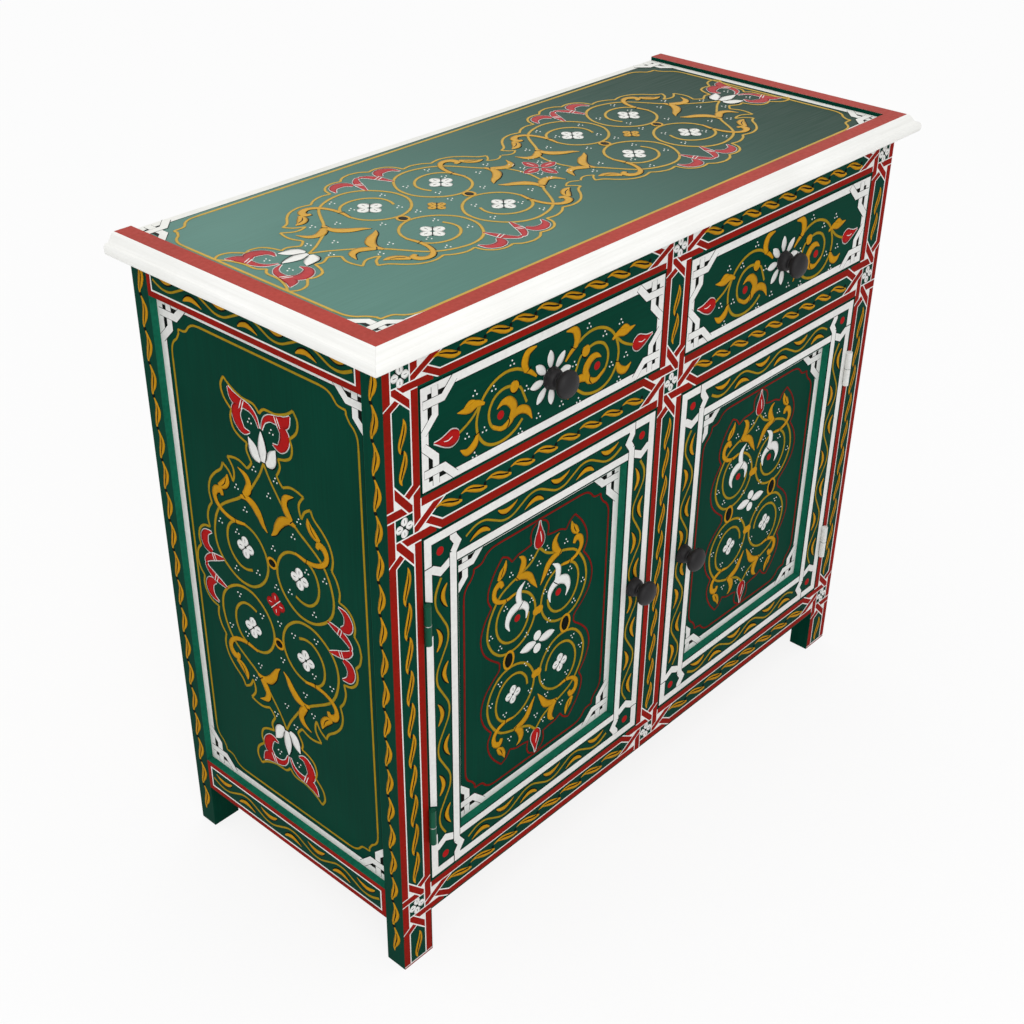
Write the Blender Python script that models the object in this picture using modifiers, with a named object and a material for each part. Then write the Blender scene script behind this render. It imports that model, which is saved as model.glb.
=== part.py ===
"""Painted sideboard with two drawers over two panelled doors, framed in posts and rails.

X runs along the front, the front faces -Y and Z is up from the floor. Sizes are in metres.
"""
import math

import bmesh
import bpy
from mathutils import Matrix, Vector

# Overall sizes of the cabinet, without the knobs
height = 0.850
carcass_width = 0.933
carcass_depth = 0.396

# Top: a panel inside a moulded lip that runs round the front and both ends
top_side_overhang = 0.027
top_front_overhang = 0.022
top_back_overhang = 0.006
moulding_height = 0.0233
moulding_slope = 0.0147
lip_width = 0.0228
lip_rise = 0.0055
slope_drop = 0.0105
nose_step = 0.0012
nose_under = 0.0030
slope_wave = 0.12
slope_points = 7
nose_points = 6

# Posts, rails and the uprights of the front frame
front_post_width = 0.048
front_post_depth = 0.030
back_post_width = 0.040
back_post_depth = 0.027
frame_thickness = 0.022
leg_height = 0.069
bottom_rail_height = 0.048
mid_rail_height = 0.053
top_rail_height = 0.0444
drawer_opening_height = 0.123
divider_width = 0.047
mullion_width = 0.050

# Joints between rails, uprights and panels
tenon_length = 0.014
tenon_thickness = 0.008
groove_depth = 0.008
tenon_past_groove = 0.003
stub_length = 0.005
stub_shoulder = 0.0045
fit_gap = 0.0003

# Side, floor and back boards
side_panel_recess = 0.0095
side_panel_thickness = 0.006
floor_thickness = 0.012
floor_below_groove = 0.003
floor_groove = 0.006
back_rail_thickness = 0.020
back_panel_thickness = 0.005
stop_thickness = 0.012
stop_height = 0.026
stop_drop = 0.010

# Drawers and their runners
drawer_gap = 0.0015
slide_gap = 0.0003
side_play = 0.001
drawer_front_thickness = 0.018
drawer_side_thickness = 0.010
drawer_side_inset = 0.0025
drawer_side_height = 0.095
drawer_back_thickness = 0.010
drawer_back_inset = 0.010
drawer_bottom_thickness = 0.005
drawer_bottom_lift = 0.008
drawer_stop_gap = 0.0005
dado_depth = 0.006
drawer_groove = 0.004
runner_thickness = 0.018
guide_rise = 0.012
ledge_lap = 0.005

# Doors
door_gap = 0.0015
door_stile_width = 0.051
door_rail_height = 0.050
door_panel_recess = 0.010
door_panel_thickness = 0.006

# Barrel hinges: the frame half carries the pin, the door half turns on it
hinge_height = 0.052
lower_hinge_inset = 0.062
upper_hinge_inset = 0.080
barrel_radius = 0.0042
barrel_clear = 0.0004
pin_radius = 0.0020
pin_clearance = 0.0001
pin_seat = 0.009
pin_length = 0.018
leaf_thickness = 0.0012
leaf_width = 0.016
leaf_split = 0.00015
barrel_sides = 20

# Bun knob on a domed rose, with a dowel into the wood
knob_projection = 0.0330
ball_radius = 0.0166
ball_depth = 0.0170
rose_radius = 0.0125
rose_rim = 0.0030
neck_radius = 0.0072
neck_height = 0.0120
dowel_radius = 0.0040
dowel_length = 0.010
knob_sides = 28
arc_points = 8

# Places worked out from the sizes above
half_width = carcass_width / 2
front_reach = max(knob_projection, top_front_overhang)
front = front_reach - (front_reach + carcass_depth + top_back_overhang) / 2
back = front + carcass_depth
carcass_top = height - moulding_height - fit_gap
bottom_rail_top = leg_height + bottom_rail_height
drawer_top = carcass_top - top_rail_height
drawer_bottom = drawer_top - drawer_opening_height
door_top = drawer_bottom - mid_rail_height
door_bottom = bottom_rail_top
opening_edge = half_width - front_post_width
frame_back = front + frame_thickness
back_rail_back = back - back_panel_thickness - fit_gap
back_rail_front = back_rail_back - back_rail_thickness
tenon_shoulder = groove_depth + tenon_past_groove
tenon_inset = (frame_thickness - tenon_thickness) / 2
hands = ((-1, "left"), (1, "right"))

# Paint and metal colours, linear RGB, with roughness and metallic values
green_paint = ((0.006, 0.061, 0.037), 0.35, 0.0)
white_paint = ((0.871, 0.871, 0.839), 0.35, 0.0)
bare_wood = ((0.450, 0.270, 0.130), 0.70, 0.0)
black_iron = ((0.012, 0.011, 0.012), 0.50, 0.6)


def clear_scene():
    for old in list(bpy.data.objects):
        bpy.data.objects.remove(old, do_unlink=True)


def new_collection(name):
    collection = bpy.data.collections.new(name)
    bpy.context.scene.collection.children.link(collection)
    return collection


clear_scene()
parts = new_collection("painted_sideboard")
cutters = new_collection("cutters")


def finish(part, look):
    """Give a piece its own Principled material."""
    colour, roughness, metallic = look
    material = bpy.data.materials.new(part.name)
    material.use_nodes = True
    shader = material.node_tree.nodes["Principled BSDF"]
    shader.inputs["Base Color"].default_value = (*colour, 1.0)
    shader.inputs["Roughness"].default_value = roughness
    shader.inputs["Metallic"].default_value = metallic
    part.data.materials.append(material)


def place(name, mesh, centre, look, parent):
    """Link a mesh as a sub-part, or as a cutter where it has no look."""
    part = bpy.data.objects.new(name, mesh)
    part.location = centre
    if parent is not None:
        part.parent = parent
        part.location = Vector(centre) - parent.location
    if look is None:
        cutters.objects.link(part)
        part.hide_render = True
        part.display_type = "WIRE"
    else:
        parts.objects.link(part)
        finish(part, look)
    return part


def mesh_of(name, bm):
    mesh = bpy.data.meshes.new(name)
    bm.to_mesh(mesh)
    bm.free()
    return mesh


def board(name, low, high, look=None, parent=None):
    """A squared board between two corners."""
    low, high = Vector(low), Vector(high)
    bm = bmesh.new()
    bmesh.ops.create_cube(bm, size=1.0)
    bmesh.ops.scale(bm, vec=high - low, verts=bm.verts)
    return place(name, mesh_of(name, bm), (low + high) / 2, look, parent)


def extrusion(name, outline, start, run, turn, look, parent=None):
    """A flat outline drawn in XY, pushed along Z by run, turned by a matrix and set at start."""
    bm = bmesh.new()
    face = bm.faces.new([bm.verts.new((x, y, 0.0)) for x, y in outline])
    pushed = bmesh.ops.extrude_face_region(bm, geom=[face])["geom"]
    pushed = [item for item in pushed if isinstance(item, bmesh.types.BMVert)]
    bmesh.ops.translate(bm, vec=(0.0, 0.0, run), verts=pushed)
    bmesh.ops.transform(bm, matrix=turn, verts=bm.verts)
    bmesh.ops.recalc_face_normals(bm, faces=bm.faces)
    return place(name, mesh_of(name, bm), start, look, parent)


def rod(name, radius, low, run, turn=None, look=None, parent=None, sides=barrel_sides):
    """A round bar from low along Z, or along a turned Z."""
    bm = bmesh.new()
    bmesh.ops.create_cone(bm, cap_ends=True, segments=sides, radius1=radius, radius2=radius, depth=run)
    bmesh.ops.translate(bm, vec=(0.0, 0.0, run / 2), verts=bm.verts)
    if turn is not None:
        bmesh.ops.transform(bm, matrix=turn, verts=bm.verts)
    return place(name, mesh_of(name, bm), low, look, parent)


def boolean(part, tool, operation):
    modifier = part.modifiers.new(tool.name, "BOOLEAN")
    modifier.operation = operation
    modifier.solver = "EXACT"
    modifier.object = tool


def cut(part, tool):
    boolean(part, tool, "DIFFERENCE")


def join(part, tool):
    boolean(part, tool, "UNION")


def grown(low, high, gap=fit_gap):
    step = Vector((gap, gap, gap))
    return Vector(low) - step, Vector(high) + step


def span(hand, near, far):
    """X range on one hand of the centre plane, from two distances to that plane."""
    return min(hand * near, hand * far), max(hand * near, hand * far)


def rail(name, low, high, axis, shoulders, length, sockets, look, parent=None):
    """A rail or upright with a tenon at each end along axis, let into the sockets."""
    part = board(name, low, high, look, parent)
    reach = -Vector(shoulders)
    reach[axis] = length
    tongue_low, tongue_high = Vector(low) - reach, Vector(high) + reach
    join(part, board(f"{name}_tenons", tongue_low, tongue_high))
    mortise = board(f"{name}_mortises", *grown(tongue_low, tongue_high))
    for socket in sockets:
        cut(socket, mortise)
    return part


def let_in(name, low, high, neighbours, look, parent=None):
    """A panel whose edges sit in grooves of its neighbours."""
    panel = board(name, low, high, look, parent)
    groove = board(f"{name}_groove", *grown(low, high))
    for neighbour in neighbours:
        cut(neighbour, groove)
    return panel


def pivot(name, spot):
    """An empty that carries a moving body, on its joint's axis."""
    empty = bpy.data.objects.new(name, None)
    empty.location = spot
    parts.objects.link(empty)
    return empty


# Four posts, from the floor to the underside of the top
posts = {}
for hand, side in hands:
    x_low, x_high = span(hand, opening_edge, half_width)
    low = (x_low, front, 0.0)
    high = (x_high, front + front_post_depth, carcass_top)
    posts[side, "front"] = board(f"{side}_front_post", low, high, green_paint)
    x_low, x_high = span(hand, half_width - back_post_width, half_width)
    low = (x_low, back - back_post_depth, 0.0)
    high = (x_high, back, carcass_top)
    posts[side, "back"] = board(f"{side}_back_post", low, high, green_paint)
front_posts = [posts["left", "front"], posts["right", "front"]]
back_posts = [posts["left", "back"], posts["right", "back"]]

# Front frame: three rails between the posts, the divider and the mullion between the rails
across = (0.0, tenon_inset, tenon_shoulder)
front_rails = {}
for name, low_z, high_z in (
    ("front_bottom_rail", leg_height, bottom_rail_top),
    ("front_mid_rail", door_top, drawer_bottom),
    ("front_top_rail", drawer_top, carcass_top),
):
    low = (-opening_edge + fit_gap, front, low_z)
    high = (opening_edge - fit_gap, frame_back, high_z)
    front_rails[name] = rail(name, low, high, 0, across, tenon_length, front_posts, green_paint)
upward = (tenon_shoulder, tenon_inset, 0.0)
for name, width, low_z, high_z, below, above in (
    ("door_mullion", mullion_width, door_bottom, door_top, "front_bottom_rail", "front_mid_rail"),
    ("drawer_divider", divider_width, drawer_bottom, drawer_top, "front_mid_rail", "front_top_rail"),
):
    low = (-width / 2, front, low_z + fit_gap)
    high = (width / 2, frame_back, high_z - fit_gap)
    sockets = [front_rails[below], front_rails[above]]
    rail(name, low, high, 2, upward, tenon_length, sockets, green_paint)

# Side frames: two rails and a recessed panel between the posts of each end
along = (tenon_inset, 0.0, tenon_shoulder)
side_front = front + front_post_depth
side_back = back - back_post_depth
floor_neighbours = [front_rails["front_bottom_rail"]]
for hand, side in hands:
    pair = [posts[side, "front"], posts[side, "back"]]
    x_low, x_high = span(hand, half_width - frame_thickness, half_width)
    side_rails = []
    for name, low_z, high_z in (
        (f"{side}_bottom_rail", leg_height, bottom_rail_top),
        (f"{side}_top_rail", drawer_top, carcass_top),
    ):
        low = (x_low, side_front + fit_gap, low_z)
        high = (x_high, side_back - fit_gap, high_z)
        side_rails.append(rail(name, low, high, 1, along, tenon_length, pair, green_paint))
    floor_neighbours.append(side_rails[0])
    panel_face = half_width - side_panel_recess
    x_low, x_high = span(hand, panel_face - side_panel_thickness, panel_face)
    low = (x_low, side_front - groove_depth, bottom_rail_top - groove_depth)
    high = (x_high, side_back + groove_depth, drawer_top + groove_depth)
    let_in(f"{side}_side_panel", low, high, pair + side_rails, green_paint)

# Back: three rails between the back posts, covered by a thin panel
back_edge = half_width - back_post_width
back_across = (0.0, (back_rail_thickness - tenon_thickness) / 2, tenon_shoulder)
back_rails = {}
for name, low_z, high_z in (
    ("back_bottom_rail", leg_height, bottom_rail_top),
    ("back_mid_rail", door_top, drawer_bottom),
    ("back_top_rail", drawer_top, carcass_top),
):
    low = (-back_edge + fit_gap, back_rail_front, low_z)
    high = (back_edge - fit_gap, back_rail_back, high_z)
    back_rails[name] = rail(name, low, high, 0, back_across, tenon_length, back_posts, bare_wood)
low = (-back_edge + fit_gap, back - back_panel_thickness, leg_height)
high = (back_edge - fit_gap, back, carcass_top)
board("back_panel", low, high, bare_wood)

# Cupboard floor, let into the bottom rails and notched round the posts
floor_edge = half_width - frame_thickness + floor_groove
floor_high = bottom_rail_top - groove_depth - floor_below_groove
low = (-floor_edge, frame_back - floor_groove, floor_high - floor_thickness)
high = (floor_edge, back_rail_front + floor_groove, floor_high)
floor_neighbours.append(back_rails["back_bottom_rail"])
floor_board = let_in("floor_board", low, high, floor_neighbours, bare_wood)
for hand, side in hands:
    for row, inner, low_y, high_y in (
        ("front", opening_edge, front, side_front),
        ("back", back_edge, side_back, back),
    ):
        x_low, x_high = span(hand, inner, half_width)
        notch = grown((x_low, low_y, 0.0), (x_high, high_y, carcass_top))
        cut(floor_board, board(f"{side}_{row}_notch", *notch))

# Door stop: a strip on the back of the middle rail that both doors close against
low = (-opening_edge + door_gap, frame_back + fit_gap, door_top - stop_drop)
high = (opening_edge - door_gap, low[1] + stop_thickness, low[2] + stop_height)
board("door_stop", low, high, bare_wood)

# Top panel, flush at the back, inside the lip of the mouldings
nose_edge = half_width + top_side_overhang
lip_edge = nose_edge - moulding_slope - lip_width
nose_front = front - top_front_overhang
lip_front = nose_front + moulding_slope + lip_width
top_back = back + top_back_overhang
top_low = carcass_top + fit_gap
low = (-lip_edge + fit_gap, lip_front + fit_gap, top_low)
high = (lip_edge - fit_gap, top_back, height - lip_rise)
board("top_panel", low, high, green_paint)


def moulding_outline():
    """Section of the moulding: X outwards from the panel, Y up from its underside."""
    outline = [(0.0, 0.0), (0.0, moulding_height), (lip_width, moulding_height)]
    slope_run = moulding_slope - nose_step - nose_under
    for step in range(1, slope_points + 1):
        share = step / slope_points
        fall = share - slope_wave * math.sin(2 * math.pi * share)
        outline.append((lip_width + slope_run * share, moulding_height - slope_drop * fall))
    nose_high = outline[-1][1]
    centre = lip_width + slope_run + nose_step
    for step in range(nose_points + 1):
        angle = math.pi / 2 - math.pi * step / nose_points
        out = centre + nose_under * math.cos(angle)
        outline.append((out, nose_high / 2 + nose_high / 2 * math.sin(angle)))
    return outline


def mitre(part, spot, normal):
    """Trim a moulding at a mitre plane given in the part's own frame."""
    bm = bmesh.new()
    bm.from_mesh(part.data)
    geometry = bm.verts[:] + bm.edges[:] + bm.faces[:]
    result = bmesh.ops.bisect_plane(
        bm, geom=geometry, plane_co=spot, plane_no=normal, clear_outer=True
    )
    rim = [item for item in result["geom_cut"] if isinstance(item, bmesh.types.BMEdge)]
    bmesh.ops.contextual_create(bm, geom=rim)
    bmesh.ops.recalc_face_normals(bm, faces=bm.faces)
    bm.to_mesh(part.data)
    bm.free()


# Mouldings round the front and both ends, mitred at the front corners
section = moulding_outline()
section_depth = lip_width + moulding_slope
long_run = 2 * nose_edge
end_run = top_back - nose_front
# Outline X goes outwards, outline Y goes up, and the push goes along the edge
front_turn = Matrix(((0, 0, 1), (-1, 0, 0), (0, 1, 0))).to_4x4()
front_moulding = extrusion(
    "front_moulding", section, (-nose_edge, lip_front, top_low), long_run, front_turn, white_paint
)
mitre_gap = fit_gap / math.sqrt(2)
mitre(front_moulding, (section_depth + mitre_gap, 0.0, 0.0), (-1.0, 1.0, 0.0))
mitre(front_moulding, (long_run - section_depth - mitre_gap, 0.0, 0.0), (1.0, 1.0, 0.0))
for hand, side in hands:
    end_turn = Matrix(((hand, 0, 0), (0, 0, 1), (0, 1, 0))).to_4x4()
    start = (hand * lip_edge, nose_front, top_low)
    moulding = extrusion(f"{side}_moulding", section, start, end_run, end_turn, white_paint)
    mitre(moulding, (0.0, section_depth + mitre_gap, 0.0), (-hand, -1.0, 0.0))

# Drawer runners: ledges under the drawer sides, with a guide beside them
drawer_inner = divider_width / 2 + drawer_gap
drawer_outer = opening_edge - drawer_gap
box_inner = drawer_inner + drawer_side_inset
box_outer = drawer_outer - drawer_side_inset
guide_high = drawer_bottom + guide_rise
ledge_low = drawer_bottom - runner_thickness
along_y = Matrix(((1, 0, 0), (0, 0, 1), (0, 1, 0))).to_4x4()
stub_low = ledge_low + stub_shoulder
stub_high = drawer_bottom - stub_shoulder
guide_face = box_outer + side_play
ledge_face = box_outer - drawer_side_thickness - ledge_lap
wall_face = half_width - frame_thickness
for hand, side in hands:
    outline = [
        (hand * ledge_face, ledge_low),
        (hand * wall_face, ledge_low),
        (hand * wall_face, guide_high),
        (hand * guide_face, guide_high),
        (hand * guide_face, drawer_bottom),
        (hand * ledge_face, drawer_bottom),
    ]
    start = (0.0, side_front + fit_gap, 0.0)
    run = side_back - side_front - 2 * fit_gap
    runner = extrusion(f"{side}_runner", outline, start, run, along_y, bare_wood)
    stub_inner = max(opening_edge, back_edge) + 2 * fit_gap
    x_low, x_high = span(hand, stub_inner, wall_face - 2 * fit_gap)
    stub = ((x_low, side_front - stub_length, stub_low), (x_high, side_back + stub_length, stub_high))
    join(runner, board(f"{side}_runner_stubs", *stub))
    socket = board(f"{side}_runner_sockets", *grown(*stub))
    cut(posts[side, "front"], socket)
    cut(posts[side, "back"], socket)
centre_guide = box_inner - side_play
centre_ledge = box_inner + drawer_side_thickness + ledge_lap
outline = [
    (-centre_ledge, ledge_low),
    (centre_ledge, ledge_low),
    (centre_ledge, drawer_bottom),
    (centre_guide, drawer_bottom),
    (centre_guide, guide_high),
    (-centre_guide, guide_high),
    (-centre_guide, drawer_bottom),
    (-centre_ledge, drawer_bottom),
]
start = (0.0, frame_back + fit_gap, 0.0)
run = back_rail_front - frame_back - 2 * fit_gap
runner = extrusion("centre_runner", outline, start, run, along_y, bare_wood)
stub_half = centre_guide - stub_shoulder
stub = (
    (-stub_half, frame_back - stub_length, stub_low),
    (stub_half, back_rail_front + stub_length, stub_high),
)
join(runner, board("centre_runner_stubs", *stub))
socket = board("centre_runner_sockets", *grown(*stub))
cut(front_rails["front_mid_rail"], socket)
cut(back_rails["back_mid_rail"], socket)


def knob_profile():
    """Half section of a knob, top to bottom: flattened ball, neck, domed rose and dowel."""
    ball_centre = knob_projection - ball_depth / 2
    neck_angle = math.asin(neck_radius / ball_radius)
    profile = [(0.0, knob_projection)]
    for step in range(1, arc_points + 1):
        angle = (math.pi - neck_angle) * step / arc_points
        profile.append((ball_radius * math.sin(angle), ball_centre + ball_depth / 2 * math.cos(angle)))
    dome_rise = neck_height - rose_rim
    for step in range(arc_points // 2 + 1):
        angle = math.pi / 2 * step / (arc_points // 2)
        out = neck_radius + (rose_radius - neck_radius) * math.sin(angle)
        profile.append((out, rose_rim + dome_rise * math.cos(angle)))
    profile.append((rose_radius, fit_gap))
    profile.append((dowel_radius, fit_gap))
    profile.append((dowel_radius, -dowel_length))
    profile.append((0.0, -dowel_length))
    return profile


def knob(name, x, z, wood, parent):
    """A turned knob standing out of the front, with its dowel bored into the wood."""
    mesh = bpy.data.meshes.new(name)
    profile = knob_profile()
    edges = [(index, index + 1) for index in range(len(profile) - 1)]
    mesh.from_pydata([(out, 0.0, up) for out, up in profile], edges, [])
    part = place(name, mesh, (x, front, z), black_iron, parent)
    part.rotation_euler = (math.pi / 2, 0.0, 0.0)
    screw = part.modifiers.new("turned", "SCREW")
    screw.axis = "Z"
    screw.steps = knob_sides
    screw.render_steps = knob_sides
    screw.use_merge_vertices = True
    screw.merge_threshold = 0.00001
    screw.use_smooth_shade = True
    hole_depth = dowel_length + fit_gap
    into_wood = Matrix.Rotation(-math.pi / 2, 4, "X")
    start = (x, front - hole_depth, z)
    hole_run = 2 * hole_depth
    hole = rod(f"{name}_hole", dowel_radius + fit_gap, start, hole_run, into_wood, sides=knob_sides)
    cut(wood, hole)


# Drawers: a flush front, two sides let into it, a back and a bottom in grooves
box_low = drawer_bottom + slide_gap
box_high = box_low + drawer_side_height
box_back = back - back_panel_thickness - drawer_stop_gap
for hand, side in hands:
    middle = hand * (drawer_inner + drawer_outer) / 2
    level = (drawer_bottom + drawer_top) / 2
    slide = pivot(f"{side}_drawer_slide", (middle, front, level))
    x_low, x_high = span(hand, drawer_inner, drawer_outer)
    low = (x_low, front, drawer_bottom + drawer_gap)
    high = (x_high, front + drawer_front_thickness, drawer_top - drawer_gap)
    drawer_front = board(f"{side}_drawer_front", low, high, green_paint, slide)
    x_low, x_high = span(hand, box_inner, box_outer)
    side_start = front + drawer_front_thickness - dado_depth
    walls = []
    for wall, wall_x in (("left", x_low), ("right", x_high - drawer_side_thickness)):
        low = (wall_x, side_start, box_low)
        high = (wall_x + drawer_side_thickness, box_back, box_high)
        name = f"{side}_drawer_{wall}_side"
        walls.append(let_in(name, low, high, [drawer_front], bare_wood, slide))
    inner_low = x_low + drawer_side_thickness - drawer_groove
    inner_high = x_high - drawer_side_thickness + drawer_groove
    back_face = box_back - drawer_back_inset
    low = (inner_low, back_face - drawer_back_thickness, box_low)
    high = (inner_high, back_face, box_high)
    drawer_back = let_in(f"{side}_drawer_back", low, high, walls, bare_wood, slide)
    bottom_low = box_low + drawer_bottom_lift
    low = (inner_low, front + drawer_front_thickness - drawer_groove, bottom_low)
    bottom_back = back_face - drawer_back_thickness + drawer_groove
    high = (inner_high, bottom_back, bottom_low + drawer_bottom_thickness)
    holders = [drawer_front, drawer_back] + walls
    let_in(f"{side}_drawer_bottom", low, high, holders, bare_wood, slide)
    knob(f"{side}_drawer_knob", middle, level, drawer_front, slide)

# Doors: stiles, rails and a recessed panel, hung on two barrel hinges each
door_inner = mullion_width / 2 + door_gap
door_outer = opening_edge - door_gap
hinge_x = opening_edge - door_gap / 2
hinge_y = front - barrel_radius - barrel_clear
door_low = door_bottom + door_gap
door_high = door_top - door_gap
hinge_looks = {"left": green_paint, "right": white_paint}
hinge_levels = (
    ("lower", door_low + lower_hinge_inset + hinge_height / 2),
    ("upper", door_high - upper_hinge_inset - hinge_height / 2),
)


def hinge(side, hand, row, level, stile, post, swing, look):
    """A lift-off hinge: the lower barrel and its pin on the post, the upper barrel on the door."""
    name = f"{side}_{row}_hinge"
    axis_x = hand * hinge_x
    low = level - hinge_height / 2
    high = level + hinge_height / 2
    frame_high = level - fit_gap / 2
    door_start = level + fit_gap / 2
    barrel_low = (axis_x, hinge_y, low)
    barrel = rod(f"{name}_frame_half", barrel_radius, barrel_low, frame_high - low, None, look)
    x_low, x_high = span(hand, hinge_x + leaf_split, hinge_x + leaf_split + leaf_thickness)
    leaf = ((x_low, hinge_y, low + fit_gap), (x_high, front + leaf_width, frame_high - fit_gap))
    join(barrel, board(f"{name}_frame_leaf", *leaf))
    cut(post, board(f"{name}_frame_recess", *grown(*leaf)))
    pin_low = (axis_x, hinge_y, frame_high - pin_seat)
    join(barrel, rod(f"{name}_pin", pin_radius, pin_low, pin_seat + pin_length))
    turning_low = (axis_x, hinge_y, door_start)
    turning_run = high - door_start
    turning = rod(f"{name}_door_half", barrel_radius, turning_low, turning_run, None, look, swing)
    x_low, x_high = span(hand, hinge_x - leaf_split - leaf_thickness, hinge_x - leaf_split)
    leaf = ((x_low, hinge_y, door_start + fit_gap), (x_high, front + leaf_width, high - fit_gap))
    join(turning, board(f"{name}_door_leaf", *leaf))
    cut(stile, board(f"{name}_door_recess", *grown(*leaf)))
    bore_low = (axis_x, hinge_y, frame_high - fit_gap)
    bore_run = pin_length + 2 * fit_gap
    cut(turning, rod(f"{name}_bore", pin_radius + pin_clearance, bore_low, bore_run))


for hand, side in hands:
    swing = pivot(f"{side}_door_pivot", (hand * hinge_x, hinge_y, (door_low + door_high) / 2))
    stiles = {}
    for kind, near in (("lock", door_inner), ("hinge", door_outer - door_stile_width)):
        x_low, x_high = span(hand, near, near + door_stile_width)
        low = (x_low, front, door_low)
        high = (x_high, frame_back, door_high)
        stiles[kind] = board(f"{side}_door_{kind}_stile", low, high, green_paint, swing)
    both = [stiles["lock"], stiles["hinge"]]
    panel_inner = door_inner + door_stile_width
    panel_outer = door_outer - door_stile_width
    x_low, x_high = span(hand, panel_inner + fit_gap, panel_outer - fit_gap)
    rails = []
    for kind, low_z in (("bottom", door_low), ("top", door_high - door_rail_height)):
        low = (x_low, front, low_z)
        high = (x_high, frame_back, low_z + door_rail_height)
        name = f"{side}_door_{kind}_rail"
        rails.append(rail(name, low, high, 0, across, tenon_length, both, green_paint, swing))
    x_low, x_high = span(hand, panel_inner - groove_depth, panel_outer + groove_depth)
    panel_front = front + door_panel_recess
    low = (x_low, panel_front, door_low + door_rail_height - groove_depth)
    high = (x_high, panel_front + door_panel_thickness, door_high - door_rail_height + groove_depth)
    let_in(f"{side}_door_panel", low, high, both + rails, green_paint, swing)
    knob_x = hand * (door_inner + door_stile_width / 2)
    knob(f"{side}_door_knob", knob_x, (door_low + door_high) / 2, stiles["lock"], swing)
    for row, level in hinge_levels:
        hinge(side, hand, row, level, stiles["hinge"], posts[side, "front"], swing, hinge_looks[side])
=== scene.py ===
import math

import bmesh
import bpy
from mathutils import Matrix, Vector


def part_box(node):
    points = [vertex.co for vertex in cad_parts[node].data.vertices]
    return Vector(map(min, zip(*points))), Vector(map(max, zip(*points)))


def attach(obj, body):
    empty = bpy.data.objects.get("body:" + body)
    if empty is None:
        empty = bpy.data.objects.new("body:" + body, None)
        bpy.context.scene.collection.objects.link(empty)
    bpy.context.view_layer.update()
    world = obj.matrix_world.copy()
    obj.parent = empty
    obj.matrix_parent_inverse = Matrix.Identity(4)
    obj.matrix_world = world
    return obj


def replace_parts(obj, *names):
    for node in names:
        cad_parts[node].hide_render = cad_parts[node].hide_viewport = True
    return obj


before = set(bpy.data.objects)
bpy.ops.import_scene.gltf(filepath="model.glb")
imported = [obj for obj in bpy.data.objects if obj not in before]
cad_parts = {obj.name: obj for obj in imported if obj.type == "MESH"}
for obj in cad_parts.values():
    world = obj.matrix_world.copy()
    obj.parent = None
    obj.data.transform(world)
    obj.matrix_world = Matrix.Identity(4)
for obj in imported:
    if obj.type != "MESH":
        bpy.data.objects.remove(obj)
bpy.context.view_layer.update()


# Posts, rails and panels of the carcass: planed softwood, morticed and glued into an open frame.
# Every outer face is brushed by hand with dark green gloss oil paint, along the length of the
# board, and the thick paint softens each edge.
def linear(code):
    """An sRGB hex colour as the linear colour that a shader takes."""
    parts = [int(code[index:index + 2], 16) / 255 for index in (1, 3, 5)]
    shares = [part / 12.92 if part <= 0.04045 else ((part + 0.055) / 1.055) ** 2.4 for part in parts]
    return shares + [1.0]


def add_node(tree, kind, inputs=None, **settings):
    """Add a node with its settings, and fill or link its inputs by name or number."""
    node = tree.nodes.new(kind)
    for name, value in settings.items():
        setattr(node, name, value)
    for name, value in (inputs or {}).items():
        if isinstance(value, bpy.types.NodeSocket):
            tree.links.new(value, node.inputs[name])
        else:
            node.inputs[name].default_value = value
    return node


def new_material(name):
    """A material with its node tree, its shader and the place on the object, in metres."""
    material = bpy.data.materials.new(name)
    material.use_nodes = True
    tree = material.node_tree
    place = add_node(tree, "ShaderNodeTexCoord").outputs["Object"]
    return material, tree, tree.nodes["Principled BSDF"], place


def oil_paint(
    name, full, thin, roughness, along=None, hair=2.4, pull=90.0, cloud=140.0, ridge=0.10, shine=0.012
):
    """Oil paint laid on by brush: hair marks in the direction of the stroke, thin and full patches.

    hair, pull and cloud are the widths and length of the marks in millimetres. Real hair marks are
    under a millimetre, so they are drawn wider here to show at all. ridge is their height in millimetres.
    """
    material, tree, shader, place = new_material(name)
    scale = [1000.0 / (pull if axis == along else hair) for axis in range(3)]
    stroke = add_node(tree, "ShaderNodeMapping", {"Vector": place, "Scale": scale}).outputs["Vector"]
    marks = add_node(
        tree, "ShaderNodeTexNoise", {"Vector": stroke, "Scale": 1.0, "Detail": 3.0}
    ).outputs["Fac"]
    clouds = add_node(
        tree, "ShaderNodeTexNoise", {"Vector": place, "Scale": 1000.0 / cloud, "Detail": 2.0}
    )
    cover = add_node(
        tree, "ShaderNodeMath", {0: marks, 1: clouds.outputs["Fac"]}, operation="ADD"
    ).outputs[0]
    share = add_node(
        tree, "ShaderNodeMapRange", {"Value": cover, "From Min": 0.72, "From Max": 1.28}
    ).outputs[0]
    colour = add_node(
        tree, "ShaderNodeMix", {0: share, 6: linear(thin), 7: linear(full)}, data_type="RGBA"
    )
    gloss = {"Value": marks, "From Min": 0.3, "From Max": 0.7}
    gloss.update({"To Min": roughness + 0.07, "To Max": roughness - 0.05})
    polish = add_node(tree, "ShaderNodeMapRange", gloss)
    relief = add_node(
        tree, "ShaderNodeBump", {"Height": marks, "Strength": 0.5, "Distance": ridge / 1000.0}
    )
    tree.links.new(colour.outputs[2], shader.inputs["Base Color"])
    tree.links.new(polish.outputs[0], shader.inputs["Roughness"])
    tree.links.new(relief.outputs["Normal"], shader.inputs["Normal"])
    shader.inputs["IOR"].default_value = 1.47
    shader.inputs["Specular IOR Level"].default_value = shine
    return material


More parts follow.
